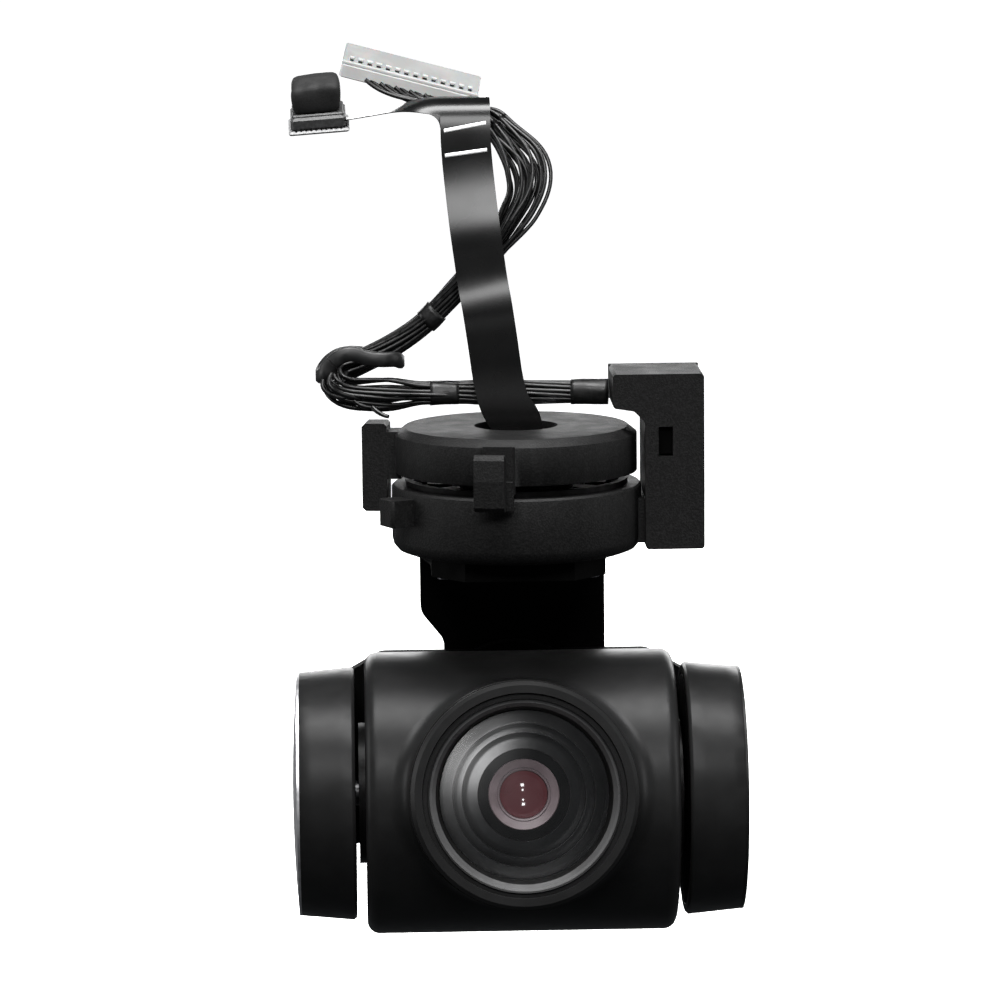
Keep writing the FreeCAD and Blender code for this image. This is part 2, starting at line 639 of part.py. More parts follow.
def yoke():
    back, plate = D["yoke_back"], D["yoke_plate"]
    top, low, reach = TILT_Z + D["yoke_top"], TILT_Z - D["yoke_low"], D["yoke_outer"]
    inner = D["pod_inner"]
    bar = padded("yoke_bar", "XZ_Plane",
                 [(-reach, low), (-14.0, low), (-8.0, low + 4.0), (8.0, low + 4.0), (14.0, low),
                  (reach, low), (reach, top - 4.0), (reach - 7.0, top), (-reach + 7.0, top),
                  (-reach, top - 4.0)],
                 -(back + plate), plate)
    soft_bar = rounded(bar, 2.2, straight_edge((0, 1, 0)), "yoke_soft_bar")
    hub = cylinder("yoke_hub", D["yoke_hub_radius"], plate, (0, back, ROLL_Z), "y")
    sides = []
    for label, start, disc_start in (("left", -reach, -(inner + D["yoke_disc"])), ("right", inner, inner)):
        arm = block("yoke_arm_" + label, (reach - inner, back - 15.5 + 0.5, 18.0),
                    (start, 15.5, TILT_Z - 8.0))
        disc = cylinder("yoke_disc_" + label, D["pod_radius"] - D["pod_wall"] - 0.2, D["yoke_disc"],
                        (disc_start, 0, TILT_Z), "x")
        strut = block("yoke_strut_" + label, (D["yoke_disc"], 8.2, 16.0),
                      (disc_start, 9.0, TILT_Z - 7.0))
        sides += [arm, disc, strut]
    shaft_hole = cylinder("yoke_shaft_hole", D["small_shaft_radius"], plate + 2,
                          (0, back - 1, ROLL_Z), "y")
    hub_holes = cylinder("yoke_bearing_way", D["small_hub_bore"], 60.0, (-30.0, 0, TILT_Z), "x")
    whole = cut("yoke_open", fuse("yoke_whole", soft_bar, hub, *sides), shaft_hole, hub_holes)
    tube_left = tube("yoke_tube_left", D["small_hub_radius"], D["small_hub_bore"], 5.2,
                     (-(inner + 5.2), 0, TILT_Z), "x")
    tube_right = tube("yoke_tube_right", D["small_hub_radius"], D["small_hub_bore"], 2.6,
                      (inner, 0, TILT_Z), "x")
    return node(fuse("roll_yoke", whole, tube_left, tube_right), "roll_yoke")


yoke()
node(about_y("roll_rotor_turned", [
    (D["small_shaft_radius"], -1 * (D["yoke_back"] + D["yoke_plate"])),
    (D["small_flux_radius"], -1 * (D["yoke_back"] + D["yoke_plate"])),
    (D["small_flux_radius"], -1 * (D["arm_front"] + 5.2)),
    (D["small_magnet_radius"], -1 * (D["arm_front"] + 5.2)),
    (D["small_magnet_radius"], -1 * (D["arm_front"] + 0.2)),
    (D["small_shaft_radius"], -1 * (D["arm_front"] + 0.2))]), "roll_rotor_bell")
put(nodes[-1][1], (0, 0, ROLL_Z))
node(cylinder("roll_shaft", D["small_shaft_radius"], 8.6, (0, D["yoke_back"] + 0.2, ROLL_Z), "y"),
     "roll_shaft")


def mirrored(sign, points):
    return [(sign * x, r) for x, r in points]


def pod(side, sign):
    """Round housing at one end of the tilt axis, with a slightly domed end cap."""
    inner, end = D["pod_inner"], D["pod_end"]
    big, small, wall = D["pod_radius"], D["pod_end_radius"], D["pod_wall"]
    shell = about_x("pod_shell_" + side, mirrored(sign, [
        (inner, big - 0.35), (inner + 0.35, big), (end, small), (end, small - wall),
        (inner, big - wall)]))
    notch_start = -1 * (inner + D["yoke_disc"] + 0.05) if sign < 0 else inner - 0.5
    notch = block("pod_notch_" + side, (D["yoke_disc"] + 0.55, 9.0, 16.1),
                  (notch_start, 8.4, TILT_Z - 7.05))
    put(shell, (0, 0, TILT_Z))
    node(cut(side + "_pod_housing", shell, notch), side + "_pod_housing")
    spigot = small - wall - 0.05
    rim = D["cap_rim"]
    crown = D["cap_crown"]
    steps = 5
    dome = [(end + rim + crown * (1 - ((steps - i) / steps) ** 2),
             small * ((steps - i) / steps)) for i in range(steps + 1)]
    outline = [(end - 0.6, spigot - 0.9), (end - 0.6, spigot), (end, spigot), (end, small),
               (end + rim, small)]
    outline += dome[1:] + [(end, 0), (end, spigot - 0.9)]
    end_cap = about_x("pod_cap_" + side, mirrored(sign, outline))
    put(end_cap, (0, 0, TILT_Z))
    node(end_cap, side + "_end_cap")


for side, sign in (("left", -1), ("right", 1)):
    pod(side, sign)

tilt_middle = -23.25
small_motor("tilt", "x", (tilt_middle, 0, TILT_Z), 2.4)
node(compound("tilt_bearings", [
    ball_bearing("tilt_bearing_%d" % i, D["small_shaft_radius"], D["small_hub_bore"], 2.0,
                 (start, 0, TILT_Z), "x")
    for i, start in enumerate((-21.9, -24.9, 20.1))]), "tilt_bearings")
node(tube("tilt_sensor_board", 12.6, D["small_hub_radius"] + 0.1, 0.8, (22.8, 0, TILT_Z), "x"),
     "tilt_sensor_board")


# ---------------------------------------------------------------- camera head (level, own frame)

def forward_edge(edge):
    """Where the lens boss meets the barrel."""
    if isinstance(edge.Curve, (Part.Circle, Part.Line)):
        return False
    first, last = edge.FirstParameter, edge.LastParameter
    for part in (0.15, 0.5, 0.85):
        point = edge.valueAt(first + part * (last - first))
        if abs(math.hypot(point.x, point.z) - D["lens_boss_radius"].value) > 0.05 or point.y > 0:
            return False
    return True


def head_shells():
    half, wall, radius = D["head_half_width"], D["head_wall"], D["barrel_radius"]
    edge = D["head_edge"]
    barrel = cylinder("head_barrel", radius, 2 * half, (-half, 0, 0), "x")
    barrel_soft = rounded(barrel, edge, lambda e: isinstance(e.Curve, Part.Circle))
    boss = cylinder("head_boss", D["lens_boss_radius"], D["lens_boss_front"] - 8.0,
                    (0, -D["lens_boss_front"], 0), "y")
    outer = fuse("head_outer", barrel_soft, boss)
    blended = rounded(outer, D["lens_boss_blend"], forward_edge, "head_blended")
    room = cylinder("head_room", radius - wall, 2 * (half - wall), (-(half - wall), 0, 0), "x")
    bore = cylinder("head_bore", D["lens_bore"], 14.0, (0, -21.0, 0), "y")
    ways = cylinder("head_ways", 4.0, 2 * half + 2.0, (-half - 1.0, 0, 0), "x")
    hollow = cut("head_hollow", blended, room, bore, ways)
    pockets = [cylinder("head_pocket_%d" % i, 1.15, 6.0, spot, "y")
               for i, spot in enumerate(HEAD_SCREWS)]
    pockets += screw_holes("head_screw", HEAD_SCREWS, 0.5, 0.9, (0, 1, 0))
    front_half = block("head_front_half", (60, 30, 60), (-30, -30.0, -30))
    rear_half = block("head_rear_half", (60, 30, 60), (-30, 0.0, -30))
    node(common("head_front_shell", hollow, front_half), "head_front_shell", True)
    rear = common("head_rear_half_shell", hollow, rear_half)
    node(cut("head_rear_shell", rear, *pockets), "head_rear_shell", True)


HEAD_SCREWS = [(x, 13.6, z) for x in (-15.0, 15.0) for z in (-9.0, 9.0)]
head_shells()
hub_start = D["head_half_width"]
hubs = []
for side, sign in (("left", -1), ("right", 1)):
    outline = mirrored(sign, [
        (hub_start - 2.2, D["small_shaft_radius"]), (hub_start - 2.2, 3.95), (hub_start, 3.95),
        (hub_start, D["tilt_hub_radius"]), (hub_start + D["tilt_hub_disc"], D["tilt_hub_radius"]),
        (hub_start + D["tilt_hub_disc"], D["small_shaft_radius"])])
    hubs.append(about_x(side + "_tilt_hub", outline))
node(compound("tilt_hubs", hubs), "tilt_hubs", True)
node(compound("tilt_shafts", [
    cylinder("tilt_shaft", D["small_shaft_radius"], 9.1, (-25.6, 0, 0), "x"),
    cylinder("pivot_pin", D["small_shaft_radius"], 6.0, (16.5, 0, 0), "x")]), "tilt_shafts", True)
node(about_x("tilt_bell_turned", mirrored(-1, [
    (25.15, D["small_shaft_radius"]), (25.15, D["small_magnet_radius"]),
    (21.6, D["small_magnet_radius"]), (21.6, D["small_flux_radius"]),
    (25.6, D["small_flux_radius"]), (25.6, D["small_shaft_radius"])])), "tilt_rotor_bell", True)

bezel_front = D["bezel_front"]
node(about_y("bezel_turned", [
    (11.85, 16.0), (11.85, 18.8), (D["bezel_radius"], 18.8), (D["bezel_radius"], bezel_front - 0.55),
    (12.95, bezel_front), (12.05, bezel_front), (11.95, bezel_front - 0.5),
    (11.45, bezel_front - 0.5), (11.4, bezel_front - 0.1), (D["bezel_inner"], bezel_front - 0.2),
    (D["bezel_inner"], 16.0)]), "lens_bezel", True)
node(about_y("trim_turned", [
    (D["bezel_inner"], 19.3), (D["bezel_inner"], 20.35), (10.9, 20.3), (D["trim_inner"], 19.75),
    (D["trim_inner"], 19.3)]), "lens_trim_ring", True)
node(about_y("cup_turned", [
    (D["bezel_inner"], 15.2), (D["bezel_inner"], 19.25), (10.05, 19.25), (10.05, 18.4), (8.9, 18.4),
    (8.3, 17.9), (8.3, 17.2), (7.3, 17.0), (7.3, 16.2), (6.2, 16.0), (5.4, 15.6), (5.4, 15.2)]),
     "lens_cup", True)
node(about_y("glass_turned", [
    (0, 18.75), (8.9, 18.45), (D["glass_radius"], 18.45), (D["glass_radius"], 19.0), (8.0, 19.5),
    (6.0, 19.85), (4.0, 20.05), (2.0, 20.18), (0, 20.2)]), "front_glass", True)
node(about_y("barrel_turned", [
    (5.0, 2.4), (7.4, 2.4), (7.4, 15.15), (4.1, 15.15), (4.1, 14.0), (5.0, 14.0)]),
     "lens_barrel", True)
node(about_y("retainer_turned", [
    (2.85, 15.2), (2.85, 15.7), (3.3, 16.3), (4.0, 16.3), (4.4, 15.9), (4.4, 15.2)]),
     "lens_retainer", True)
second = about_y("second_turned", [
    (0, 14.1), (4.0, 14.1), (4.0, 15.1), (2.8, 15.1), (2.7, 15.6), (1.6, 15.95), (0, 16.1)])
node(about_y("aperture_turned", [(1.3, 11.6), (4.95, 11.6), (4.95, 12.0), (1.3, 12.0)]),
     "aperture_plate", True)
third = about_y("third_turned", [(0, 8.2), (4.2, 8.0), (4.9, 8.0), (4.9, 9.4), (4.2, 9.4), (0, 9.9)])
infrared = block("infrared_filter", (6.8, 0.4, 6.8), (-3.4, -3.4, -3.4))
node(compound("inner_lenses", [second, third, infrared]), "inner_lenses", True)
node(block("image_sensor", (7.0, 0.9, 5.6), (-3.5, -1.9, -2.8)), "image_sensor", True)
node(block("sensor_board", (20.0, 1.0, 20.0), (-10.0, -1.0, -10.0)), "sensor_board", True)
node(cut("lens_holder", block("holder_block", (17.0, 1.35, 17.0), (-8.5, -2.36, -8.5)),
         block("holder_window", (8.0, 3.0, 8.0), (-4.0, -3.0, -4.0))), "lens_holder", True)
node(compound("video_board", [
    block("video_base", (24.0, 1.0, 18.0), (-12.0, 5.0, -9.0)),
    block("video_processor", (8.0, 0.8, 8.0), (-4.0, 6.05, -4.0)),
    block("motion_sensor", (3.0, 0.8, 3.0), (6.5, 6.05, -1.5))]), "video_board", True)
node(screw_group("head_screws", HEAD_SCREWS, 1.0, 0.45, 0.5, 0.9, (0, 1, 0)), "head_screws", True)


# ---------------------------------------------------------------- ribbon and wire harness

def soft_path(points):
    """Straight runs joined by tangent arcs, each as large as its two runs allow."""
    corners = [Vector(*p) for p in points]
    edges = []
    radii = []
    here = corners[0]
    for i in range(1, len(corners) - 1):
        before, corner, after = corners[i - 1], corners[i], corners[i + 1]
        into = (before - corner)
        out = (after - corner)
        run = min(into.Length, out.Length)
        into.normalize()
        out.normalize()
        turn = math.pi - math.acos(max(-1.0, min(1.0, into.dot(out))))
        setback = 0.45 * run
        radii.append(setback / math.tan(turn / 2))
        start, end = corner + into * setback, corner + out * setback
        toward = (into + out)
        toward.normalize()
        to_centre = math.hypot(radii[-1], setback)
        middle = corner + toward * (to_centre - radii[-1])
        edges.append(Part.LineSegment(here, start).toShape())
        edges.append(Part.Arc(start, middle, end).toShape())
        here = end
    edges.append(Part.LineSegment(here, corners[-1]).toShape())
    return Part.Wire(edges), radii


def round_lead(name, points, diameter):
    """A plain tube along a route; prints its radii and compares its volume."""
    path, radii = soft_path(points)
    along = (Vector(*points[1]) - Vector(*points[0]))
    circle = Part.Circle(Vector(*points[0]), along, diameter / 2.0)
    solid = path.makePipeShell([Part.Wire([circle.toShape()])], True, False)
    expected = math.pi * diameter ** 2 / 4 * path.Length
    print(name, "length %.1f" % path.Length, "radii", ["%.1f" % r for r in radii],
          "volume ratio %.3f" % (solid.Volume / expected))
    holder = doc.addObject("Part::Feature", name)
    holder.Shape = solid
    return holder


def flat_strip(name, points, width, thick, normal):
    """A flat strip along a route in one plane; normal is the strip's thickness direction."""
    path, radii = soft_path(points) if len(points) > 2 else (
        Part.Wire([Part.LineSegment(Vector(*points[0]), Vector(*points[1])).toShape()]), [])
    along = Vector(*points[1]) - Vector(*points[0])
    along.normalize()
    normal = Vector(*normal)
    side = along.cross(normal)
    start = Vector(*points[0])
    corners = [start + side * (width / 2 * s) + normal * (thick / 2 * t)
               for s, t in ((1, 1), (-1, 1), (-1, -1), (1, -1), (1, 1))]
    section = Part.makePolygon(corners)
    builder = Part.BRepOffsetAPI.MakePipeShell(path)
    builder.setBiNormalMode(normal)
    builder.add(section)
    builder.build()
    builder.makeSolid()
    print(name, "length %.1f" % path.Length, "radii", ["%.1f" % r for r in radii],
          "volume ratio %.3f" % (builder.shape().Volume / (width * thick * path.Length)))
    return builder.shape()


RIBBON_ROUTE = [(0.3, 0.0, -1.1), (0.3, 0.0, 1.15), (-1.8, 0.0, 4.3), (-2.5, 0.0, 9.8),
                (-3.8, 0.0, 17.2), (-4.75, 0.0, 24.5), (-5.5, 0.0, 32.0), (-5.6, 0.0, 37.4)]
LEG_ROUTE = [(-5.6, 1.5, 38.9), (-5.7, 4.6, 38.9), (-9.6, 5.6, 38.3), (-14.6, 5.4, 37.3),
             (-19.8, 5.4, 36.6)]
HARNESS_ROUTE = [(11.2, 1.5, 4.05), (6.0, 2.0, 4.1), (-1.5, 2.6, 3.95), (-9.5, 2.8, 3.9),
                 (-16.5, 2.4, 3.75), (-21.9, 2.4, 3.8), (-22.1, 5.8, 6.0), (-17.0, 5.6, 7.6),
                 (-11.4, 5.3, 11.2), (-8.0, 5.0, 14.6), (-4.2, 4.8, 18.7), (0.9, 4.8, 23.2),
                 (2.6, 5.6, 30.2), (1.0, 8.0, 35.4), (-4.4, 10.6, 38.2)]


def quarter_fold(low, high, width, thick):
    """A quarter turn about X that joins a climbing strip to a level one behind it."""
    half = thick / 2
    radius = 0.7
    x = low[0] - width / 2
    y, z, y_end, z_end = low[1], low[2], high[1], high[2]
    centre_y, centre_z = y + radius, z_end - radius
    bulge = math.sqrt(0.5)
    outer = Part.Arc(Vector(x, y - half, centre_z),
                     Vector(x, centre_y - (radius + half) * bulge, centre_z + (radius + half) * bulge),
                     Vector(x, centre_y, z_end + half))
    inner = Part.Arc(Vector(x, centre_y, z_end - half),
                     Vector(x, centre_y - (radius - half) * bulge, centre_z + (radius - half) * bulge),
                     Vector(x, y + half, centre_z))
    corners = [Vector(x, y - half, z), Vector(x, y - half, centre_z), Vector(x, centre_y, z_end + half),
               Vector(x, y_end, z_end + half), Vector(x, y_end, z_end - half),
               Vector(x, centre_y, z_end - half), Vector(x, y + half, centre_z), Vector(x, y + half, z)]
    line = [Part.LineSegment(corners[i], corners[(i + 1) % 8]).toShape() for i in (0, 2, 3, 4, 6, 7)]
    edges = [line[0], outer.toShape(), line[1], line[2], line[3], inner.toShape(), line[4], line[5]]
    return Part.Face(Part.Wire(edges)).extrude(Vector(width, 0, 0))


def ribbon():
    """Flat ribbon that leaves the hollow shaft, climbs, folds back and turns to its connector."""
    wide, thick = D["ribbon_width"].value, D["ribbon_thickness"].value
    riser = flat_strip("ribbon_riser", RIBBON_ROUTE, wide, thick, (0, 1, 0))
    fold = quarter_fold(RIBBON_ROUTE[-1], LEG_ROUTE[0], wide, thick)
    leg = flat_strip("ribbon_leg", LEG_ROUTE, wide, thick, (0, 0, 1))
    holder = doc.addObject("Part::Feature", "flex_ribbon")
    holder.Shape = riser.fuse([fold, leg]).removeSplitter()
    node(holder, "flex_ribbon")


def sleeve(label, start, end, outer, fat_lead):
    """A band round the harness between two points; the lead's own space is left open."""
    along = Vector(*end) - Vector(*start)
    band = doc.addObject("Part::Cylinder", label + "_band")
    band.Radius = outer
    band.Height = along.Length
    band.Placement = Placement(Vector(*start), Rotation(Vector(0, 0, 1), along))
    return cut(label, band, fat_lead)


def between(points, index, part):
    """A point on one run of a route."""
    one, two = Vector(*points[index]), Vector(*points[index + 1])
    return tuple(one + (two - one) * part)


ribbon()
node(round_lead("wire_harness", HARNESS_ROUTE, D["harness_diameter"].value), "wire_harness")
lead_space = round_lead("harness_space", HARNESS_ROUTE, D["harness_diameter"].value + 0.2)
sleeve_radius = D["harness_diameter"].value / 2 + D["sleeve_wall"].value
node(sleeve("harness_boot", between(HARNESS_ROUTE, 0, 0.01), between(HARNESS_ROUTE, 0, 0.72),
            sleeve_radius, lead_space), "harness_boot")
node(compound("harness_sleeves", [
    sleeve("harness_tape", between(HARNESS_ROUTE, 2, 0.55), between(HARNESS_ROUTE, 2, 0.98),
           sleeve_radius, lead_space),
    sleeve("harness_wrap", between(HARNESS_ROUTE, 8, 0.02), between(HARNESS_ROUTE, 8, 0.42),
           sleeve_radius, lead_space)]), "harness_sleeves")
loop = doc.addObject("Part::Torus", "rubber_loop_ring")
loop.Radius1 = 2.6
loop.Radius2 = 0.75
loop.Placement = Placement(Vector(*between(HARNESS_ROUTE, 6, 0.35)),
                           Rotation(Vector(0, 0, 1), Vector(5.1, -0.2, 1.6)))
node(cut("rubber_loop", loop, lead_space), "rubber_loop")

plug_tilt = Rotation(Vector(0, 1, 0), 18)
plug_size = (17.2, 5.0, 2.6)
plug_centre = Vector(-12.6, 12.0, 41.9)
plug_corner = plug_centre - plug_tilt.multVec(Vector(*plug_size) * 0.5)
node(rounded(block("plug_block", plug_size, tuple(plug_corner), plug_tilt), 0.3,
             lambda e: e.Length > 4.0, "plug_soft"), "harness_plug")
base_x, base_y, base_z = -26.9, 2.2, 34.9
node(compound("board_connector", [
    block("stiffener", (7.4, 6.4, 0.5), (base_x, base_y, base_z)),
    block("connector", (6.8, 5.8, 2.0), (base_x + 0.2, base_y + 0.3, base_z + 0.52))]),
     "board_connector")
pad = block("pad", (5.9, 4.8, 4.7), (base_x + 0.5, base_y + 0.8, base_z + 2.54))
node(rounded(pad, 0.7, straight_edge((1, 0, 0), lambda p: p.z > 38), "pad_soft"), "foam_pad")


# ---------------------------------------------------------------- checks and files

doc.recompute()
failed = [o.Name for o in doc.Objects if "Invalid" in o.State or "Error" in o.State]
if failed:
    raise RuntimeError("features failed: " + ", ".join(failed))
os.makedirs("parts", exist_ok=True)
for label, obj in nodes:
    shape = obj.Shape
    if shape.isNull() or not shape.isValid() or shape.Volume <= 0 or not shape.Solids:
        raise RuntimeError("bad shape: " + label)
for label, obj in nodes:
    obj.Shape.exportStep(os.path.join("parts", label + ".step"))
print(len(nodes), "nodes written")
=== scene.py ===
import json
import math
import random

import bpy
import numpy as np
from mathutils import Matrix, Vector


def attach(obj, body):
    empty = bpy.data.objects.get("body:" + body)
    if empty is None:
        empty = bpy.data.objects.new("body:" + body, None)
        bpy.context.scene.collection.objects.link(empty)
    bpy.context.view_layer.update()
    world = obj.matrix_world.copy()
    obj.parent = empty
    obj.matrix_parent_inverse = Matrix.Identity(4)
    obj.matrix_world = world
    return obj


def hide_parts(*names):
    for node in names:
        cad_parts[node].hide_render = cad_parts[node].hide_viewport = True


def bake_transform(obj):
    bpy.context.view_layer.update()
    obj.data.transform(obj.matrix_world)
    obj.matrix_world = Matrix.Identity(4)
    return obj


# Looks of a camera gimbal that hangs below a drone. Metres, +Z up, the lens looks along -Y.

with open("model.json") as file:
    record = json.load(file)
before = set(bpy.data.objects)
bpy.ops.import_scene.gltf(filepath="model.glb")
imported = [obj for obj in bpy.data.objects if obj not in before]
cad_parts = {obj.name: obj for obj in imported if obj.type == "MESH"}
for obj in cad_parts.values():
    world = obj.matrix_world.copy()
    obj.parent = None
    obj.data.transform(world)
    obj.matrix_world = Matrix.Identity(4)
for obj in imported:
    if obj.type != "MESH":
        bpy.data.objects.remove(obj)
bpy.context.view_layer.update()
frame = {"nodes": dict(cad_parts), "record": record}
nodes = frame["nodes"]
MM = 0.001
WELD_GAP = 1e-6


# ---------------------------------------------------------------- meshes

class Pile:
    """Points and faces of one mesh while it is being made."""

    def __init__(self):
        self.points = []
        self.faces = []

    def rings(self, rings, closed_ends=True, closed_loop=False):
        """Joins rings of equally many points, and fans the two ends shut."""
        start, sides = len(self.points), len(rings[0])
        for ring in rings:
            self.points += [Vector(p) for p in ring]
        count = len(rings)
        for i in range(count if closed_loop else count - 1):
            a, b = start + i * sides, start + ((i + 1) % count) * sides
            for j in range(sides):
                k = (j + 1) % sides
                self.faces.append((a + j, a + k, b + k, b + j))
        if closed_ends and not closed_loop:
            for ring_start, turn in ((start, True), (start + (count - 1) * sides, False)):
                centre = sum((self.points[ring_start + j] for j in range(sides)), Vector()) / sides
                self.points.append(centre)
                middle = len(self.points) - 1
                for j in range(sides):
                    k = (j + 1) % sides
                    pair = (ring_start + j, ring_start + k)
                    self.faces.append((*(reversed(pair) if turn else pair), middle))

    def tube(self, line, radius, sides=8):
        """A round tube along a line; radius is one number or one for every point."""
        normals = carried_normals(line)
        radii = radius if hasattr(radius, "__len__") else [radius] * len(line)
        rings = []
        for place, (along, normal), size in zip(line, normals, radii):
            side = along.cross(normal)
            rings.append([place + size * (math.cos(a) * normal + math.sin(a) * side)
                          for a in angles(sides)])
        self.rings(rings)

    def block(self, size, centre, turn=None, chamfer=0.0):
        """A box with all its edges chamfered."""
        turn = turn or Matrix.Identity(3)
        half = Vector(size) / 2
        c = min(chamfer, 0.45 * min(size))
        rings = []
        for z, inset in ((-half.z, c), (-half.z + c, 0.0), (half.z - c, 0.0), (half.z, c)):
            x, y = half.x - inset, half.y - inset
            k = c if inset == 0.0 else c * 0.6
            outline = [(x - k, -y), (x, -y + k), (x, y - k), (x - k, y),
                       (-x + k, y), (-x, y - k), (-x, -y + k), (-x + k, -y)]
            rings.append([turn @ Vector((px, py, z)) + Vector(centre) for px, py in outline])
        self.rings(rings)

    def make(self, name, material, smooth=True, merge=False):
        mesh = bpy.data.meshes.new(name)
        mesh.from_pydata([tuple(p) for p in self.points], [], self.faces)
        piece = bpy.data.objects.new(name, mesh)
        bpy.context.scene.collection.objects.link(piece)
        mesh.materials.append(material)
        if merge:
            weld = piece.modifiers.new("weld", "WELD")
            weld.merge_threshold = WELD_GAP
        mesh.polygons.foreach_set("use_smooth", [smooth] * len(mesh.polygons))
        mesh.validate()
        return piece


def angles(count, start=0.0):
    return [start + 2 * math.pi * i / count for i in range(count)]


def carried_normals(line):
    """The direction of the line and a normal at every point, turned as little as possible."""
    found = []
    normal = None
    for i, place in enumerate(line):
        along = (line[min(i + 1, len(line) - 1)] - line[max(i - 1, 0)]).normalized()
        if normal is None:
            normal = along.orthogonal().normalized()
        normal = (normal - along * normal.dot(along)).normalized()
        found.append((along, normal.copy()))
    return found


def smooth_line(route, step):
    """Even points of the NURBS spline whose control points are the route."""
    curve = bpy.data.curves.new("route", "CURVE")
    curve.dimensions = "3D"
    spline = curve.splines.new("NURBS")
    spline.points.add(len(route) - 1)
    for point, place in zip(spline.points, route):
        point.co = (*place, 1.0)
    spline.order_u = 3
    spline.use_endpoint_u = True
    spline.resolution_u = 24
    holder = bpy.data.objects.new("route", curve)
    mesh = bpy.data.meshes.new_from_object(holder)
    line = [v.co.copy() for v in mesh.vertices]
    bpy.data.objects.remove(holder)
    bpy.data.curves.remove(curve)
    bpy.data.meshes.remove(mesh)
    return even(line, step)


def lengths(line):
    run = [0.0]
    for a, b in zip(line, line[1:]):
        run.append(run[-1] + (b - a).length)
    return run


def even(line, step):
    run = lengths(line)
    count = max(2, round(run[-1] / step) + 1)
    grid = np.array([tuple(p) for p in line])
    at = np.linspace(0, run[-1], count)
    return [Vector(p) for p in np.stack([np.interp(at, run, grid[:, k]) for k in range(3)], axis=1)]


def ease(x):
    x = max(0.0, min(1.0, x))
    return x * x * (3 - 2 * x)


def along_profile(profile, s):
    """A value that eases from one stated place to the next."""
    if s <= profile[0][0]:
        return profile[0][1]
    for (s0, v0), (s1, v1) in zip(profile, profile[1:]):
        if s <= s1:
            return v0 + (v1 - v0) * ease((s - s0) / (s1 - s0))
    return profile[-1][1]


def lathe(name, profile, material, place, segments=160):
    """A piece turned about the local -Y axis from (radius, forward) pairs, closed on itself."""
    pile = Pile()
    rings = []
    for a in angles(segments):
        rings.append([place @ Vector((r * math.cos(a), -f, r * math.sin(a))) for r, f in profile])
    pile.rings(rings, closed_loop=True)
    return pile.make(name, material, merge=True)


def shade_by_angle(piece, degrees=35):
    """Smooth faces, but keeps the corners that are sharper than the angle."""
    mesh = piece.data
    mesh.polygons.foreach_set("use_smooth", [True] * len(mesh.polygons))
    mesh.set_sharp_from_angle(angle=math.radians(degrees))
    return piece


# ---------------------------------------------------------------- materials

class Finish:
    """Node tree of one material, built round a Principled shader."""

    def __init__(self, name, colour, roughness, metallic=0.0, specular=0.5):
        self.material = bpy.data.materials.new(name)
        self.material.use_nodes = True
        self.tree = self.material.node_tree
        self.shader = self.tree.nodes["Principled BSDF"]
        self.shader.inputs["Base Color"].default_value = (*colour, 1.0)
        self.shader.inputs["Roughness"].default_value = roughness
        self.shader.inputs["Metallic"].default_value = metallic
        self.shader.inputs["Specular IOR Level"].default_value = specular
        self.place = self.node("ShaderNodeTexCoord").outputs["Object"]
        self.normal = None

    def node(self, kind, **settings):
        made = self.tree.nodes.new(kind)
        for key, value in settings.items():
            setattr(made, key, value)
        return made

    def link(self, out, into):
        self.tree.links.new(out, into)

    def noise(self, size, detail=2.0, stretch=(1, 1, 1), rough=0.5):
        """Noise whose features are about this large, in metres."""
        mapping = self.node("ShaderNodeMapping")
        mapping.inputs["Scale"].default_value = stretch
        self.link(self.place, mapping.inputs["Vector"])
        made = self.node("ShaderNodeTexNoise")
        made.inputs["Scale"].default_value = 1.0 / size
        made.inputs["Detail"].default_value = detail
        made.inputs["Roughness"].default_value = rough
        self.link(mapping.outputs["Vector"], made.inputs["Vector"])
        return made.outputs["Fac"]

    def ramp(self, factor, stops):
        """Colours, or greys, at places from 0 to 1."""
        made = self.node("ShaderNodeValToRGB")
        elements = made.color_ramp.elements
        while len(elements) < len(stops):
            elements.new(0.5)
        for element, (position, value) in zip(elements, stops):
            element.position = position
            colour = value if hasattr(value, "__len__") else (value,) * 3
            element.color = (*colour, 1.0)
        self.link(factor, made.inputs["Fac"])
        return made.outputs["Color"]

    def colours(self, factor, low, high, start=0.35, end=0.65):
        self.link(self.ramp(factor, [(start, low), (end, high)]), self.shader.inputs["Base Color"])
        return self

    def roughness(self, factor, low, high):
        self.link(self.ramp(factor, [(0.3, low), (0.7, high)]), self.shader.inputs["Roughness"])
        return self

    def bump(self, height, distance, strength=1.0):
        made = self.node("ShaderNodeBump")
        made.inputs["Distance"].default_value = distance
        made.inputs["Strength"].default_value = strength
        self.link(height, made.inputs["Height"])
        if self.normal is not None:
            self.link(self.normal, made.inputs["Normal"])
        self.normal = made.outputs["Normal"]
        self.link(self.normal, self.shader.inputs["Normal"])
        return self

    def set(self, **values):
        for key, value in values.items():
            self.shader.inputs[key.replace("_", " ")].default_value = value
        return self


def grey(value):
    return (value, value, value * 1.01)


def textured_plastic_painted_highlights(name, low, high, grain, depth, roughness, specular):
    """Moulded plastic with a spark-eroded skin pitted at about one grain, painted darker in the
    hollows as painted shade and lighter on the tips as painted highlights.
    """
    made = Finish(name, grey(low), roughness, specular=specular)
    pits_and_painted_highlights = made.noise(grain, detail=3.0, rough=0.6)
    # The colour follows the bump: painted shade in the hollows, painted highlights on the tips.
    made.colours(pits_and_painted_highlights, grey(low), grey(high), 0.44, 0.62)
    made.roughness(made.noise(grain * 14, detail=2.0), roughness - 0.06, roughness + 0.06)
    made.bump(pits_and_painted_highlights, depth, 0.55)
    return made.material


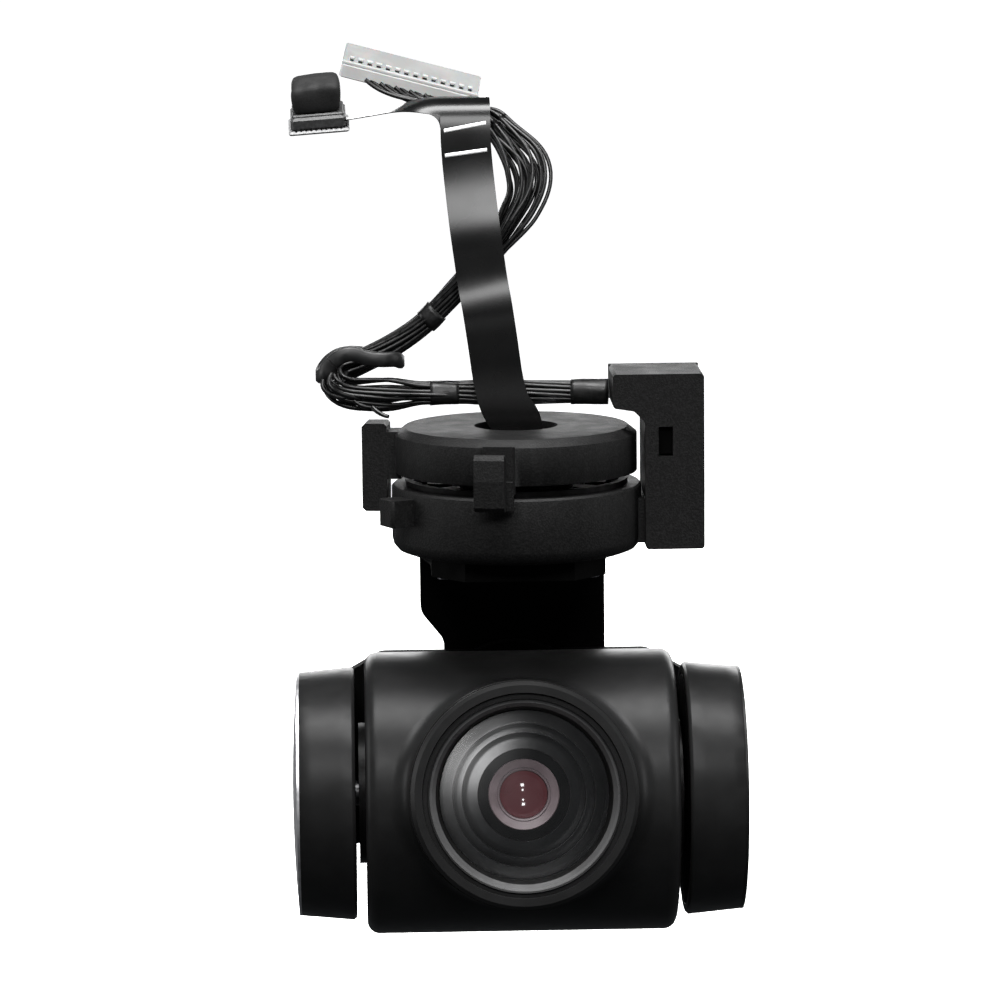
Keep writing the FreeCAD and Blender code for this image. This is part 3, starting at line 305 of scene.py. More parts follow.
def satin_metal(name, low, high, roughness, specular, grain=0.00009):
    """Satin paint over metal: even, with a very fine orange peel and faint clouding."""
    made = Finish(name, grey(low), roughness, specular=specular)
    made.colours(made.noise(0.004, detail=3.0), grey(low), grey(high))
    made.roughness(made.noise(0.0016, detail=4.0), roughness - 0.03, roughness + 0.03)
    made.bump(made.noise(grain, detail=2.0), 0.000004, 0.35)
    return made.material


def turned_metal(name, low, high, roughness, step=0.00016):
    """Metal with fine turning marks."""
    made = Finish(name, low, roughness, metallic=1.0)
    made.colours(made.noise(0.0012, detail=3.0), low, high)
    made.roughness(made.noise(0.0007, detail=3.0), roughness - 0.07, roughness + 0.07)
    made.bump(made.noise(step, detail=1.0), 0.000004, 0.3)
    return made.material


def copper_wire():
    made = Finish("copper_wire", (0.012, 0.005, 0.003), 0.55, metallic=0.6)
    wave = made.node("ShaderNodeTexWave", bands_direction="Z")
    wave.inputs["Scale"].default_value = 1500.0
    wave.inputs["Distortion"].default_value = 1.5
    made.link(made.place, wave.inputs["Vector"])
    # The colour follows the wave bump: painted shade in the grooves between turns.
    made.colours(wave.outputs["Fac"], (0.004, 0.002, 0.0015), (0.014, 0.006, 0.004), 0.2, 0.8)
    made.bump(wave.outputs["Fac"], 0.00006, 0.8)
    return made.material


def circuit_board():
    made = Finish("circuit_board", (0.01, 0.06, 0.03), 0.35)
    made.colours(made.noise(0.0011, detail=0.0), (0.006, 0.045, 0.024), (0.02, 0.11, 0.06),
                 0.49, 0.51)
    made.bump(made.noise(0.0011, detail=0.0), 0.00003, 0.4)
    made.roughness(made.noise(0.002), 0.28, 0.42)
    return made.material


def wire_skin():
    """Thin extruded insulation: black with dusty and polished stretches."""
    made = Finish("wire_skin", grey(0.002), 0.36, specular=0.3)
    dust = made.noise(0.0011, detail=4.0, rough=0.7)
    made.colours(dust, grey(0.0008), grey(0.0045), 0.42, 0.75)
    made.roughness(made.noise(0.0008, detail=3.0), 0.24, 0.48)
    made.bump(made.noise(0.0003, detail=2.0), 0.00001, 0.4)
    return made.material


def tape_skin():
    made = Finish("tape_skin", grey(0.003), 0.5, specular=0.25)
    made.colours(made.noise(0.0006, detail=5.0, rough=0.7), grey(0.0015), grey(0.006), 0.4, 0.75)
    made.roughness(made.noise(0.0012, detail=3.0), 0.3, 0.55)
    made.bump(made.noise(0.00045, detail=4.0), 0.00006, 0.5)
    return made.material


def strap_rubber():
    made = Finish("strap_rubber", grey(0.003), 0.45, specular=0.35)
    made.colours(made.noise(0.0018, detail=4.0), grey(0.0015), grey(0.006), 0.35, 0.7)
    made.roughness(made.noise(0.0009, detail=3.0), 0.38, 0.6)
    made.bump(made.noise(0.0002, detail=3.0), 0.00001, 0.5)
    return made.material


def foam_skin():
    """Closed-cell foam: small pores painted darker towards their middles as painted shade, with the
    cell walls between them lighter.
    """
    made = Finish("foam_skin", grey(0.005), 0.8, specular=0.25)
    cells = made.node("ShaderNodeTexVoronoi")
    cells.inputs["Scale"].default_value = 6500.0
    made.link(made.place, cells.inputs["Vector"])
    # Painted shade: each pore is darker where the bump dips deepest.
    made.colours(cells.outputs["Distance"], grey(0.0008), grey(0.005), 0.15, 0.6)
    made.bump(cells.outputs["Distance"], 0.00003, 0.5)
    made.roughness(made.noise(0.001), 0.65, 0.85)
    return made.material


def film_skin():
    """Glossy cover film whose gloss varies a little."""
    made = Finish("film_skin", grey(0.001), 0.27, specular=0.3)
    made.colours(made.noise(0.004, detail=2.0), grey(0.0005), grey(0.0013))
    made.roughness(made.noise(0.006, detail=2.0), 0.25, 0.29)
    return made.material


def white_nylon():
    made = Finish("white_nylon", (0.70, 0.70, 0.69), 0.42)
    made.colours(made.noise(0.003, detail=3.0), (0.64, 0.64, 0.63), (0.74, 0.74, 0.73))
    made.roughness(made.noise(0.0012, detail=3.0), 0.34, 0.5)
    made.set(Subsurface_Weight=0.15, Subsurface_Scale=0.0006)
    made.bump(made.noise(0.0004, detail=2.0), 0.00001, 0.3)
    return made.material


def legend_ink():
    made = Finish("legend_ink", (0.85, 0.85, 0.85), 0.5)
    made.colours(made.noise(0.0007, detail=4.0), (0.72, 0.72, 0.72), (0.92, 0.92, 0.92), 0.3, 0.6)
    made.bump(made.noise(0.0002), 0.000004, 0.4)
    return made.material


def coated_glass(name, tint, gloss=0.26):
    """Clear element whose coated face gives the only reflection."""
    made = Finish(name, tint, 0.0, specular=0.0)
    made.set(Transmission_Weight=1.0, IOR=1.0, Coat_Weight=1.0, Coat_IOR=1.5)
    made.link(made.ramp(made.noise(0.006, detail=2.0), [(0.3, gloss * 0.8), (0.7, gloss * 1.2)]),
              made.shader.inputs["Coat Roughness"])
    return made.material


def lens_black(name, low, high, roughness, specular):
    """Plain paint with faint clouding, for the black mounts inside the lens."""
    made = Finish(name, low, roughness, specular=specular)
    made.colours(made.noise(0.002, detail=3.0), low, high)
    made.roughness(made.noise(0.001, detail=3.0), roughness - 0.03, roughness + 0.03)
    return made.material


def glowing_red_coating():
    """Red anti-reflection coating of the small element at the lens's heart, with a faint red glow
    that is painted light standing in for light falling on it.
    """
    made = Finish("glowing_red_coating", (0.09, 0.012, 0.018), 0.1, specular=0.6)
    made.colours(made.noise(0.0025, detail=1.0), (0.06, 0.010, 0.016), (0.11, 0.038, 0.044),
                 0.3, 0.7)
    # Painted light: the faint red emission makes the element glow though it is no lamp.
    made.set(Coat_Weight=1.0, Coat_Roughness=0.02, Emission_Color=(1.0, 0.24, 0.28, 1.0),
             Emission_Strength=0.05)
    return made.material


MATERIALS = {
    "housing_plastic": textured_plastic_painted_highlights("housing_plastic", 0.0003, 0.0048, 0.00021, 0.00013,
                                        0.58, 0.15),
    "arm_plastic": textured_plastic_painted_highlights("arm_plastic", 0.0002, 0.0008, 0.00018, 0.00004,
                                    0.68, 0.035),
    "satin_shell": satin_metal("satin_shell", 0.0065, 0.0085, 0.37, 0.08),
    "silver_cap": turned_metal("silver_cap", (0.40, 0.40, 0.415), (0.52, 0.52, 0.53), 0.42),
    "grey_ring": satin_metal("grey_ring", 0.03, 0.04, 0.3, 0.5),
    "lens_black": lens_black("lens_black", grey(0.0012), grey(0.0025), 0.4, 0.2),
    "retainer": lens_black("retainer", (0.075, 0.056, 0.060), (0.10, 0.078, 0.083), 0.4, 0.3),
    "optical_glass": coated_glass("optical_glass", (0.96, 0.96, 0.97)),
    "copper_wire": copper_wire(),
    "motor_steel": turned_metal("motor_steel", (0.004, 0.004, 0.004), (0.008, 0.008, 0.008), 0.5),
    "bright_steel": turned_metal("bright_steel", (0.10, 0.10, 0.105), (0.18, 0.18, 0.185), 0.35),
    "magnet": turned_metal("magnet", (0.010, 0.010, 0.011), (0.018, 0.018, 0.019), 0.45),
    "screw_steel": turned_metal("screw_steel", (0.03, 0.03, 0.034), (0.07, 0.07, 0.075), 0.38),
    "circuit_board": circuit_board(),
    "chip": textured_plastic_painted_highlights("chip", 0.012, 0.03, 0.00015, 0.00001, 0.5, 0.5),
    "polyimide": film_skin(),
    "white_nylon": white_nylon(),
    "connector": textured_plastic_painted_highlights("connector", 0.014, 0.03, 0.0003, 0.00002, 0.5, 0.5),
    "foam": foam_skin(),
    "wire": wire_skin(),
    "sleeve": tape_skin(),
}
STRAP = strap_rubber()
STIFFENER = textured_plastic_painted_highlights("stiffener", 0.12, 0.2, 0.0003, 0.00001, 0.45, 0.5)
INK = legend_ink()
# The small element's material carries a faint painted glow.
RED_GLOW = glowing_red_coating()
# Near-black with almost no gloss: painted shade that makes the service port read as a deep hole.
PORT_PAINTED_SHADE = lens_black("port_painted_shade", grey(0.0002), grey(0.0006), 0.5, 0.03)

slot_of = {s["node"]: s["material_slot"] for s in frame["record"]["subparts"]}
for name, cad in nodes.items():
    finish = MATERIALS[slot_of[name]]
    for place in cad.material_slots:
        place.material = finish
# The service port gets the painted shade of a deep hole.
for place in nodes["service_port"].material_slots:
    place.material = PORT_PAINTED_SHADE


def soften(name, width, degrees=32):
    """Rounds the sharp edges of a CAD node with a modifier; its own mesh stays as packed."""
    cad = nodes[name]
    weld = cad.modifiers.new("weld", "WELD")
    weld.merge_threshold = WELD_GAP
    bevel = cad.modifiers.new("bevel", "BEVEL")
    bevel.width = width
    bevel.segments = 2
    bevel.limit_method = "ANGLE"
    bevel.angle_limit = math.radians(degrees)
    bevel.harden_normals = True


# ---------------------------------------------------------------- camera, stage and light

def camera():
    """Long lens, slightly above and left of the lens axis, with the horizon a little tilted."""
    azimuth, elevation, roll = math.radians(-1.6), math.radians(8.3), math.radians(0.6)
    distance, width_seen, sensor_mm = 0.575, 0.12, 36.0
    centre_right, centre_down = -0.0019, 0.0090
    back = Vector((math.sin(azimuth) * math.cos(elevation),
                   -math.cos(azimuth) * math.cos(elevation), math.sin(elevation)))
    level = Vector((math.cos(azimuth), math.sin(azimuth), 0.0))
    above = back.cross(level)
    right = level * math.cos(roll) - above * math.sin(roll)
    up = above * math.cos(roll) + level * math.sin(roll)
    data = bpy.data.cameras.new("camera")
    data.sensor_width = sensor_mm
    data.lens = sensor_mm * distance / width_seen
    data.clip_start, data.clip_end = 0.01, 20.0
    made = bpy.data.objects.new("camera", data)
    target = right * centre_right - up * centre_down
    turn = Matrix((right, up, back)).transposed().to_4x4()
    made.matrix_world = Matrix.Translation(target + back * distance) @ turn
    bpy.context.scene.collection.objects.link(made)
    bpy.context.scene.camera = made


def area_light(name, place, aim, size, power):
    data = bpy.data.lights.new(name, "AREA")
    data.shape = "RECTANGLE"
    data.size, data.size_y = size
    data.energy = power
    made = bpy.data.objects.new(name, data)
    direction = Vector(aim) - Vector(place)
    made.rotation_mode = "QUATERNION"
    made.rotation_quaternion = direction.to_track_quat("-Z", "Y")
    made.location = place
    bpy.context.scene.collection.objects.link(made)
    return made


def stage():
    """Pale floor that curves up into a backdrop, soft lights and a dim room."""
    floor_z, width, depth, bend = -0.085, 3.0, 1.6, 0.5
    profile = [(-depth, floor_z)]
    profile += [(depth - bend + bend * math.sin(a), floor_z + bend - bend * math.cos(a))
                for a in np.linspace(0, math.pi / 2, 17)]
    profile.append((depth, 2.5))
    pile = Pile()
    for y, z in profile:
        pile.points += [Vector((-width, y, z)), Vector((width, y, z))]
    for i in range(len(profile) - 1):
        pile.faces.append((2 * i, 2 * i + 1, 2 * i + 3, 2 * i + 2))
    paper = Finish("backdrop", (0.93, 0.93, 0.93), 0.9, specular=0.1)
    paper.colours(paper.noise(0.4), (0.92, 0.92, 0.92), (0.94, 0.94, 0.94))
    paper.set(Emission_Color=(1, 1, 1, 1), Emission_Strength=0.85)
    floor = pile.make("backdrop", paper.material)
    floor.visible_glossy = False
    floor.visible_diffuse = False
    floor.visible_shadow = False
    world = bpy.data.worlds.new("room")
    world.use_nodes = True
    world.node_tree.nodes["Background"].inputs["Color"].default_value = (0.9, 0.95, 1.0, 1.0)
    world.node_tree.nodes["Background"].inputs["Strength"].default_value = 0.08
    bpy.context.scene.world = world
    bpy.context.scene.view_settings.view_transform = "Standard"
    head = (0.0, 0.0, -0.03)
    area_light("overhead", (0.0, -0.09, 0.42), head, (0.44, 0.20), 7.5)
    area_light("front_bank", (-0.02, -0.42, 0.27), (0.0, 0.0, 0.01), (0.34, 0.14), 2.6)
    area_light("front_low", (0.1, -0.62, -0.12), head, (0.3, 0.1), 0.12)
    area_light("left_side", (-0.5, 0.05, 0.05), head, (0.2, 0.3), 0.9)
    area_light("right_side", (0.5, -0.05, 0.08), head, (0.2, 0.3), 0.9)
    area_light("behind", (0.05, 0.5, 0.06), head, (0.5, 0.16), 1.5)


camera()
stage()


# ---------------------------------------------------------------- wire harness

HARNESS_ROUTE = [
    (0.0112, 0.0015, 0.0037), (0.0060, 0.0020, 0.0037), (-0.0015, 0.0026, 0.0037),
    (-0.0095, 0.0028, 0.0037), (-0.0165, 0.0022, 0.0036), (-0.0213, 0.0022, 0.0038),
    (-0.0217, 0.0058, 0.0062), (-0.0170, 0.0056, 0.0078), (-0.0114, 0.0053, 0.0112),
    (-0.0080, 0.0050, 0.0146), (-0.0042, 0.0048, 0.0187), (-0.0006, 0.0048, 0.0226),
    (0.0028, 0.0056, 0.0292), (-0.0014, 0.0080, 0.0350), (-0.0058, 0.0104, 0.0386),
]
WIRE_RADIUS = 0.00026
TAPE_RADIUS = 0.00146
BOOT_RADIUS = 0.00150
WIRE_RINGS = ((1, 0.0), (6, 0.00056), (14, 0.00116))

# Distance along the harness in metres, and how wide or loose the bundle is there.
BUNDLE_WIDTH = [(0.0, 0.95), (0.007, 1.0), (0.014, 1.1), (0.0185, 1.0), (0.022, 1.05),
                (0.027, 1.75), (0.033, 1.5), (0.040, 1.1), (0.0475, 0.96), (0.0505, 0.94),
                (0.054, 1.0), (0.059, 1.1), (0.066, 1.4), (0.071, 1.75), (0.077, 1.3)]
BUNDLE_LOOSE = [(0.004, 0.0), (0.012, 0.0001), (0.0185, 0.00003), (0.022, 0.00012),
                (0.028, 0.0003), (0.034, 0.0003), (0.041, 0.0001), (0.0475, 0.00003),
                (0.0505, 0.00003), (0.056, 0.0002), (0.061, 0.0004), (0.066, 0.0008),
                (0.071, 0.0011), (0.076, 0.0007)]
LEADS_START = 0.0770


def strands(line):
    """One line of points for each wire of the bundle, wandering round the harness's own line."""
    rng = random.Random(7)
    run = lengths(line)
    axes = carried_normals(line)
    found = []
    for count, ring_radius in WIRE_RINGS:
        for angle in angles(count, rng.uniform(0, 1)):
            waves = [(rng.uniform(70, 160), rng.uniform(170, 330), rng.uniform(0, 6.28),
                      rng.uniform(0, 6.28)) for _ in range(2)]
            wire = []
            for place, s, (along, normal) in zip(line, run, axes):
                side = along.cross(normal)
                width = along_profile(BUNDLE_WIDTH, s)
                loose = along_profile(BUNDLE_LOOSE, s)
                turned = angle + 40.0 * s
                wander = [loose * (0.75 * math.sin(slow * s + p) + 0.35 * math.sin(fast * s + q))
                          for slow, fast, p, q in waves]
                a = ring_radius * width * math.cos(turned) + wander[0]
                b = ring_radius * width * math.sin(turned) + wander[1]
                wire.append(place + a * normal + b * side)
            found.append(wire)
    return found


def bezier(p0, p1, p2, p3, count):
    points = []
    for i in range(count + 1):
        t = i / count
        points.append((1 - t) ** 3 * p0 + 3 * (1 - t) ** 2 * t * p1 + 3 * (1 - t) * t * t * p2
                      + t ** 3 * p3)
    return points


harness_line = smooth_line(HARNESS_ROUTE, 0.0005)
harness_run = lengths(harness_line)
bundle_end = next(i for i, s in enumerate(harness_run) if s >= LEADS_START)
all_wires = strands(harness_line)

PLUG_CENTRE = Vector((-0.0120, 0.0120, 0.0412))
PLUG_TURN = Matrix.Rotation(math.radians(15), 3, "Y") @ Matrix.Rotation(math.radians(26), 3, "X")


def harness():
    """The bundle, and the spread of its wires into the plug."""
    bundle, leads = Pile(), Pile()
    order = sorted(range(len(all_wires)), key=lambda k: all_wires[k][bundle_end].x)
    for rank, k in enumerate(order):
        wire = all_wires[k]
        bundle.tube(wire[:bundle_end + 1], WIRE_RADIUS)
        start = wire[bundle_end]
        along = (wire[bundle_end] - wire[bundle_end - 1]).normalized()
        share = rank / (len(order) - 1)
        row = -0.0024 + 0.0003 * (rank % 3)
        socket = PLUG_CENTRE + PLUG_TURN @ Vector((-0.0052 + 0.0122 * share, row, -0.0006))
        under = PLUG_TURN @ Vector((0.84, -0.34, -0.38))
        far = (socket - start).length
        lead = bezier(start, start + along * far * 0.40, socket + under * far * 0.34, socket, 30)
        leads.tube(lead, WIRE_RADIUS)
    wires = bundle.make("harness_wires", MATERIALS["wire"])
    spread = leads.make("plug_leads", MATERIALS["wire"])
    return wires, spread


def band(name, start, end, radius, material, lump, seed):
    """A wrap round the bundle between two distances along it, uneven like wound tape."""
    rng = random.Random(seed)
    phases = [rng.uniform(0, 6.28) for _ in range(4)]
    chosen = [i for i, s in enumerate(harness_run) if start <= s <= end]
    axes = carried_normals(harness_line)
    rings = []
    last = len(chosen) - 1
    for n, i in enumerate(chosen):
        place, (along, normal) = harness_line[i], axes[i]
        side = along.cross(normal)
        s = harness_run[i]
        ring = []
        for a in angles(40):
            r = radius + lump * (math.sin(2 * a + phases[0] + 300 * s)
                                 + 0.6 * math.sin(5 * a + phases[1] - 500 * s)
                                 + 0.5 * math.sin(1400 * s + phases[2] + a))
            ring.append(place + r * (math.cos(a) * normal + math.sin(a) * side))
        if n in (0, last):
            inner = [place + (p - place) * 0.86 for p in ring]
            lipped = [place + (p - place) * 0.97 for p in ring]
            rings += [inner, lipped, ring] if n == 0 else [ring, lipped, inner]
        else:
            rings.append(ring)
    pile = Pile()
    pile.rings(rings)
    return pile.make(name, material)


wires, plug_leads = harness()
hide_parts("wire_harness")
tape_low = band("tape_wrap_low", 0.0176, 0.0216, TAPE_RADIUS, MATERIALS["sleeve"], 0.00006, seed=3)
tape_high = band("tape_wrap_high", 0.0477, 0.0501, TAPE_RADIUS, MATERIALS["sleeve"], 0.00006,
                 seed=5)
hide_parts("harness_sleeves")
boot = band("heat_shrink", 0.0, 0.0046, BOOT_RADIUS, MATERIALS["sleeve"], 0.00005, seed=9)
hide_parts("harness_boot")


def strap():
    """Flat rubber strap that loops over the bundle where it turns back."""
    route = [(-0.0232, 0.0012, 0.0060), (-0.0220, 0.0004, 0.0078), (-0.0199, 0.0002, 0.0091),
             (-0.0178, 0.0004, 0.0082), (-0.0158, 0.0006, 0.0080), (-0.0143, 0.0014, 0.0080),
             (-0.0135, 0.0036, 0.0074), (-0.0144, 0.0068, 0.0074), (-0.0172, 0.0078, 0.0078),
             (-0.0204, 0.0078, 0.0082), (-0.0226, 0.0060, 0.0072), (-0.0236, 0.0032, 0.0060)]
    line = smooth_line(route + route[:3], 0.0003)
    overlap = len(line) // 14
    line = line[overlap:len(line) - overlap]
    width, thick = 0.0018, 0.0010
    rings = []
    for i, place in enumerate(line):
        along = (line[min(i + 1, len(line) - 1)] - line[max(i - 1, 0)]).normalized()
        side = along.cross(Vector((0, 0, 1))).normalized()
        up = side.cross(along)
        w, t, c = width / 2, thick / 2, thick * 0.28
        rings.append([place + side * x + up * z for x, z in (
            (t - c, -w), (t, -w + c), (t, w - c), (t - c, w),
            (-t + c, w), (-t, w - c), (-t, -w + c), (-t + c, -w))])
    pile = Pile()
    pile.rings(rings)
    return shade_by_angle(pile.make("rubber_strap", STRAP), 50)


def stray_wires():
    """A few wires and a tie tail that stand off the bundle near its turn."""
    routes = [
        [(-0.0205, 0.0012, 0.0044), (-0.0192, 0.0002, 0.0027), (-0.0168, 0.0006, 0.0021),
         (-0.0140, 0.0012, 0.0024)],
        [(-0.0222, 0.0014, 0.0070), (-0.0236, 0.0006, 0.0054), (-0.0222, 0.0002, 0.0036),
         (-0.0196, 0.0010, 0.0032)],
        [(-0.0214, 0.0008, 0.0072), (-0.0228, -0.0002, 0.0058), (-0.0214, -0.0006, 0.0041),
         (-0.0186, 0.0006, 0.0033)],
    ]
    pile = Pile()
    for route in routes:
        pile.tube(smooth_line(route, 0.0003), WIRE_RADIUS)
    tail = [(-0.0172, 0.0006, 0.0024), (-0.0164, -0.0004, 0.0015), (-0.0152, -0.0006, 0.0013)]
    line = smooth_line(tail, 0.0002)
    pile.tube(line, [0.00034 - 0.00012 * i / len(line) for i in range(len(line))], sides=6)
    return pile.make("stray_wires", MATERIALS["wire"])


rubber_strap = strap()
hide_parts("rubber_loop")
strays = stray_wires()


# ---------------------------------------------------------------- plug of the harness

def plug():
    """White multi-way housing with a row of crimp windows along the front of its top."""
    ways, pitch = 14, 0.00114
    body, contacts = Pile(), Pile()

    def at(x, y, z):
        return PLUG_CENTRE + PLUG_TURN @ Vector((x, y, z))

    body.block((0.0169, 0.0047, 0.0020), at(0, 0, -0.00021), PLUG_TURN, 0.00022)
    body.block((0.0169, 0.0033, 0.0005), at(0, 0.0007, 0.00095), PLUG_TURN, 0.00015)
    body.block((0.0169, 0.0004, 0.0005), at(0, -0.00215, 0.00095), PLUG_TURN, 0.00012)
    for i in range(ways + 1):
        wide = 0.0008 if i in (0, ways) else 0.00052
        body.block((wide, 0.0014, 0.0005), at((i - ways / 2) * pitch, -0.0014, 0.00095), PLUG_TURN,
                   0.00008)
    for i in range(ways):
        x = (i + 0.5 - ways / 2) * pitch
        contacts.block((0.00050, 0.0009, 0.00014), at(x, -0.00145, 0.00082), PLUG_TURN, 0.00003)
    housing = body.make("plug_housing", MATERIALS["white_nylon"], smooth=False)
    pins = contacts.make("plug_contacts", MATERIALS["screw_steel"], smooth=False)
    return housing, pins


plug_housing, plug_contacts = plug()
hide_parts("harness_plug")


# ---------------------------------------------------------------- flat ribbon

RIBBON_ROUTE = [
    (0.0003, 0.0000, -0.0011), (0.0003, 0.0000, 0.0003), (-0.0013, 0.0000, 0.0022),
    (-0.0021, -0.0001, 0.0055), (-0.0026, -0.0006, 0.0095), (-0.0031, -0.0010, 0.0130),
    (-0.0034, -0.0008, 0.0150), (-0.0038, -0.0001, 0.0172), (-0.0041, 0.0001, 0.0195),
    (-0.0045, 0.0001, 0.0225), (-0.0048, 0.0006, 0.0250), (-0.0051, 0.0016, 0.0280),
    (-0.0054, 0.0022, 0.0310), (-0.0056, 0.0024, 0.0340),
]
FOLD_ROUTE = [(-0.0056, 0.0026, 0.0358), (-0.0056, 0.0031, 0.0375), (-0.0056, 0.0042, 0.0386),
              (-0.0056, 0.0056, 0.0389)]
LEG_ROUTE = [(-0.0086, 0.0056, 0.0386), (-0.0146, 0.0055, 0.0374), (-0.0201, 0.0054, 0.0366)]
RIBBON_WIDTH = 0.0060
RIBBON_THICKNESS = 0.00012
RIBBON_TWIST = math.radians(3)


def ribbon():
    """One L-shaped film: it climbs, curls backwards, and its leg runs left to the connector."""
    half, step = RIBBON_WIDTH / 2, 0.0003
    climb = smooth_line(RIBBON_ROUTE + FOLD_ROUTE, step)
    climb_run = lengths(climb)
    after = [climb[-1] + Vector((0, 1, 0)) * step * i for i in range(1, 10)]
    climb, climb_run = climb + after, lengths(climb + after)
    end = climb_run[-1]
    leg_front = end - RIBBON_WIDTH
    corner_radius = 0.0024
    leg = smooth_line([FOLD_ROUTE[-1]] + LEG_ROUTE, step)
    leg_run = lengths(leg)

    def at(line, run, s):
        grid = np.array([tuple(p) for p in line])
        return Vector([float(np.interp(s, run, grid[:, k])) for k in range(3)])

    def place(p, q):
        """Where a point of the flat outline lies: p across the climbing strip, q along it."""
        rise = max(0.0, q - (end - corner_radius))
        if p > 0 and rise:
            p *= (half - corner_radius + math.sqrt(max(0.0, corner_radius ** 2 - rise ** 2))) / half
        twist = RIBBON_TWIST * ease((q / end - 0.25) / 0.6)
        centre = at(climb, climb_run, q)
        ahead = at(climb, climb_run, q + 0.0006) - at(climb, climb_run, q - 0.0006)
        ahead.y = 0
        lean = ahead.x / max(ahead.length, 1e-4) * (1 - ease((q - leg_front) / 0.003))
        side = Vector((math.sqrt(1 - lean * lean), 0, -lean))
        curled = centre + (side * math.cos(twist) + Vector((0, math.sin(twist), 0))) * float(p)
        if p >= -half:
            return curled
        beyond = -half - p
        level = at(leg, leg_run, beyond + half) + Vector((0, q - (end - half), 0))
        share = ease(beyond / 0.007)
        return curled * (1 - share) + level * share

    across, rows = 10, int(end / 0.00035)
    pile = Pile()

    def patch(p_list, q_list):
        start = len(pile.points)
        pile.points += [place(p, q) for q in q_list for p in p_list]
        wide = len(p_list)
        for j in range(len(q_list) - 1):
            for i in range(wide - 1):
                a = start + j * wide + i
                pile.faces.append((a, a + 1, a + 1 + wide, a + wide))

    riser_q = list(np.linspace(0, leg_front, rows)) + list(np.linspace(leg_front, end, 15))[1:]
    patch(list(np.linspace(-half, half, across + 1)), riser_q)
    leg_length = leg_run[-1] - half
    leg_p = list(np.linspace(-half - leg_length, -half, 50))
    patch(leg_p, list(np.linspace(leg_front, end, 15)))
    fillet = 0.0016
    corner = len(pile.points)
    pile.points.append(place(-half, leg_front))
    for i in range(9):
        a = math.pi / 2 * i / 8
        pile.points.append(place(-half - fillet + fillet * math.cos(a),
                                 leg_front - fillet + fillet * math.sin(a)))
    for i in range(8):
        pile.faces.append((corner, corner + 2 + i, corner + 1 + i))
    film = pile.make("ribbon_film", MATERIALS["polyimide"], merge=True)
    solid = film.modifiers.new("thickness", "SOLIDIFY")
    solid.thickness = RIBBON_THICKNESS
    solid.offset = 0.0
    edges = film.modifiers.new("edges", "EDGE_SPLIT")
    edges.split_angle = math.radians(50)

    marks = Pile()
    line_width, ink = 0.00042, 0.00003
    for q_mark, slant in ((end - 0.0108, 0.06), (end - 0.0077, 0.18)):
        start = len(marks.points)
        steps = 12
        for q in (q_mark, q_mark + line_width):
            for i in range(steps + 1):
                p_mark = half * (1.68 * i / steps - 0.86)
                spot = place(p_mark, q + slant * p_mark)
                marks.points.append(spot + Vector((0, -1, 0.1)) * (RIBBON_THICKNESS / 2 + ink))
        for i in range(steps):
            a = start + i
            marks.faces.append((a, a + 1, a + steps + 2, a + steps + 1))
    lines = marks.make("ribbon_marks", INK)
    thick = lines.modifiers.new("thickness", "SOLIDIFY")
    thick.thickness = ink
    centre = [place(0.0, q) for q in np.linspace(0, end - half, 90)]
    centre += [place(-half - p, end - half) for p in np.linspace(-half + 0.0003, leg_length, 40)]
    return film, lines, centre


ribbon_film, ribbon_marks, ribbon_centre = ribbon()
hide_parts("flex_ribbon")


END_CENTRE = Vector((-0.0231, 0.0054, 0.0359))
END_TURN = Matrix.Rotation(math.radians(-4), 3, "Y") @ Matrix.Rotation(math.radians(13), 3, "X")


def on_end(x, y, z):
    """A place on the stiffened end of the ribbon, measured from the middle of its plate."""
    return END_CENTRE + END_TURN @ Vector((x, y, z))


def board_connector():
    """Stiffened end of the ribbon with its low connector and two rows of contacts."""
    base, shell, pins = Pile(), Pile(), Pile()
    base.block((0.0073, 0.0063, 0.00046), on_end(0, 0, 0), END_TURN, 0.0002)
    shell.block((0.0066, 0.0056, 0.0016), on_end(0, 0, 0.0010), END_TURN, 0.0003)
    shell.block((0.0062, 0.0050, 0.0004), on_end(0, 0, 0.0019), END_TURN, 0.00015)
    for side in (-1, 1):
        for i in range(10):
            pins.block((0.00024, 0.0004, 0.00016),
                       on_end((i - 4.5) * 0.00060, side * 0.0028, 0.0003), END_TURN, 0.00004)
    plate = base.make("ribbon_stiffener", STIFFENER, smooth=False)
    body = shell.make("connector_body", MATERIALS["connector"], smooth=False)
    contacts = pins.make("connector_contacts", MATERIALS["motor_steel"], smooth=False)
    return plate, body, contacts


def foam_block():
    """Foam pad, crowned on every side, its top sloping down to the front and dented a little."""
    size = Vector((0.0058, 0.0048, 0.0040))
    power, rows, columns = 8.0, 36, 72
    pile = Pile()
    rings = []
    for j in range(1, rows):
        v = -math.pi / 2 + math.pi * j / rows
        ring = []
        for a in angles(columns):
            d = Vector((math.cos(v) * math.cos(a), math.cos(v) * math.sin(a), math.sin(v)))
            reach = (abs(d.x) ** power + abs(d.y) ** power + abs(d.z) ** power) ** (-1 / power)
            p = d * reach
            dent = (1 - 0.025 * math.sin(2.3 * p.x + 1.7 * p.z + 0.6)
                    - 0.02 * math.sin(3.1 * p.y - p.x))
            lean = 0.30 * max(0.0, p.z) * max(0.0, -p.y) + 0.10 * max(0.0, p.z) * max(0.0, -p.x)
            taper = 1 - 0.07 * abs(p.z) ** 2
            ring.append(on_end(p.x * size.x / 2 * dent * taper, p.y * size.y / 2 * dent * taper,
                               0.0040 + (p.z - lean) * size.z / 2))
        rings.append(ring)
    pile.rings(rings)
    return pile.make("foam_block", MATERIALS["foam"])


stiffener, connector_body, connector_contacts = board_connector()
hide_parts("board_connector")
foam = foam_block()
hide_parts("foam_pad")


# ---------------------------------------------------------------- lens

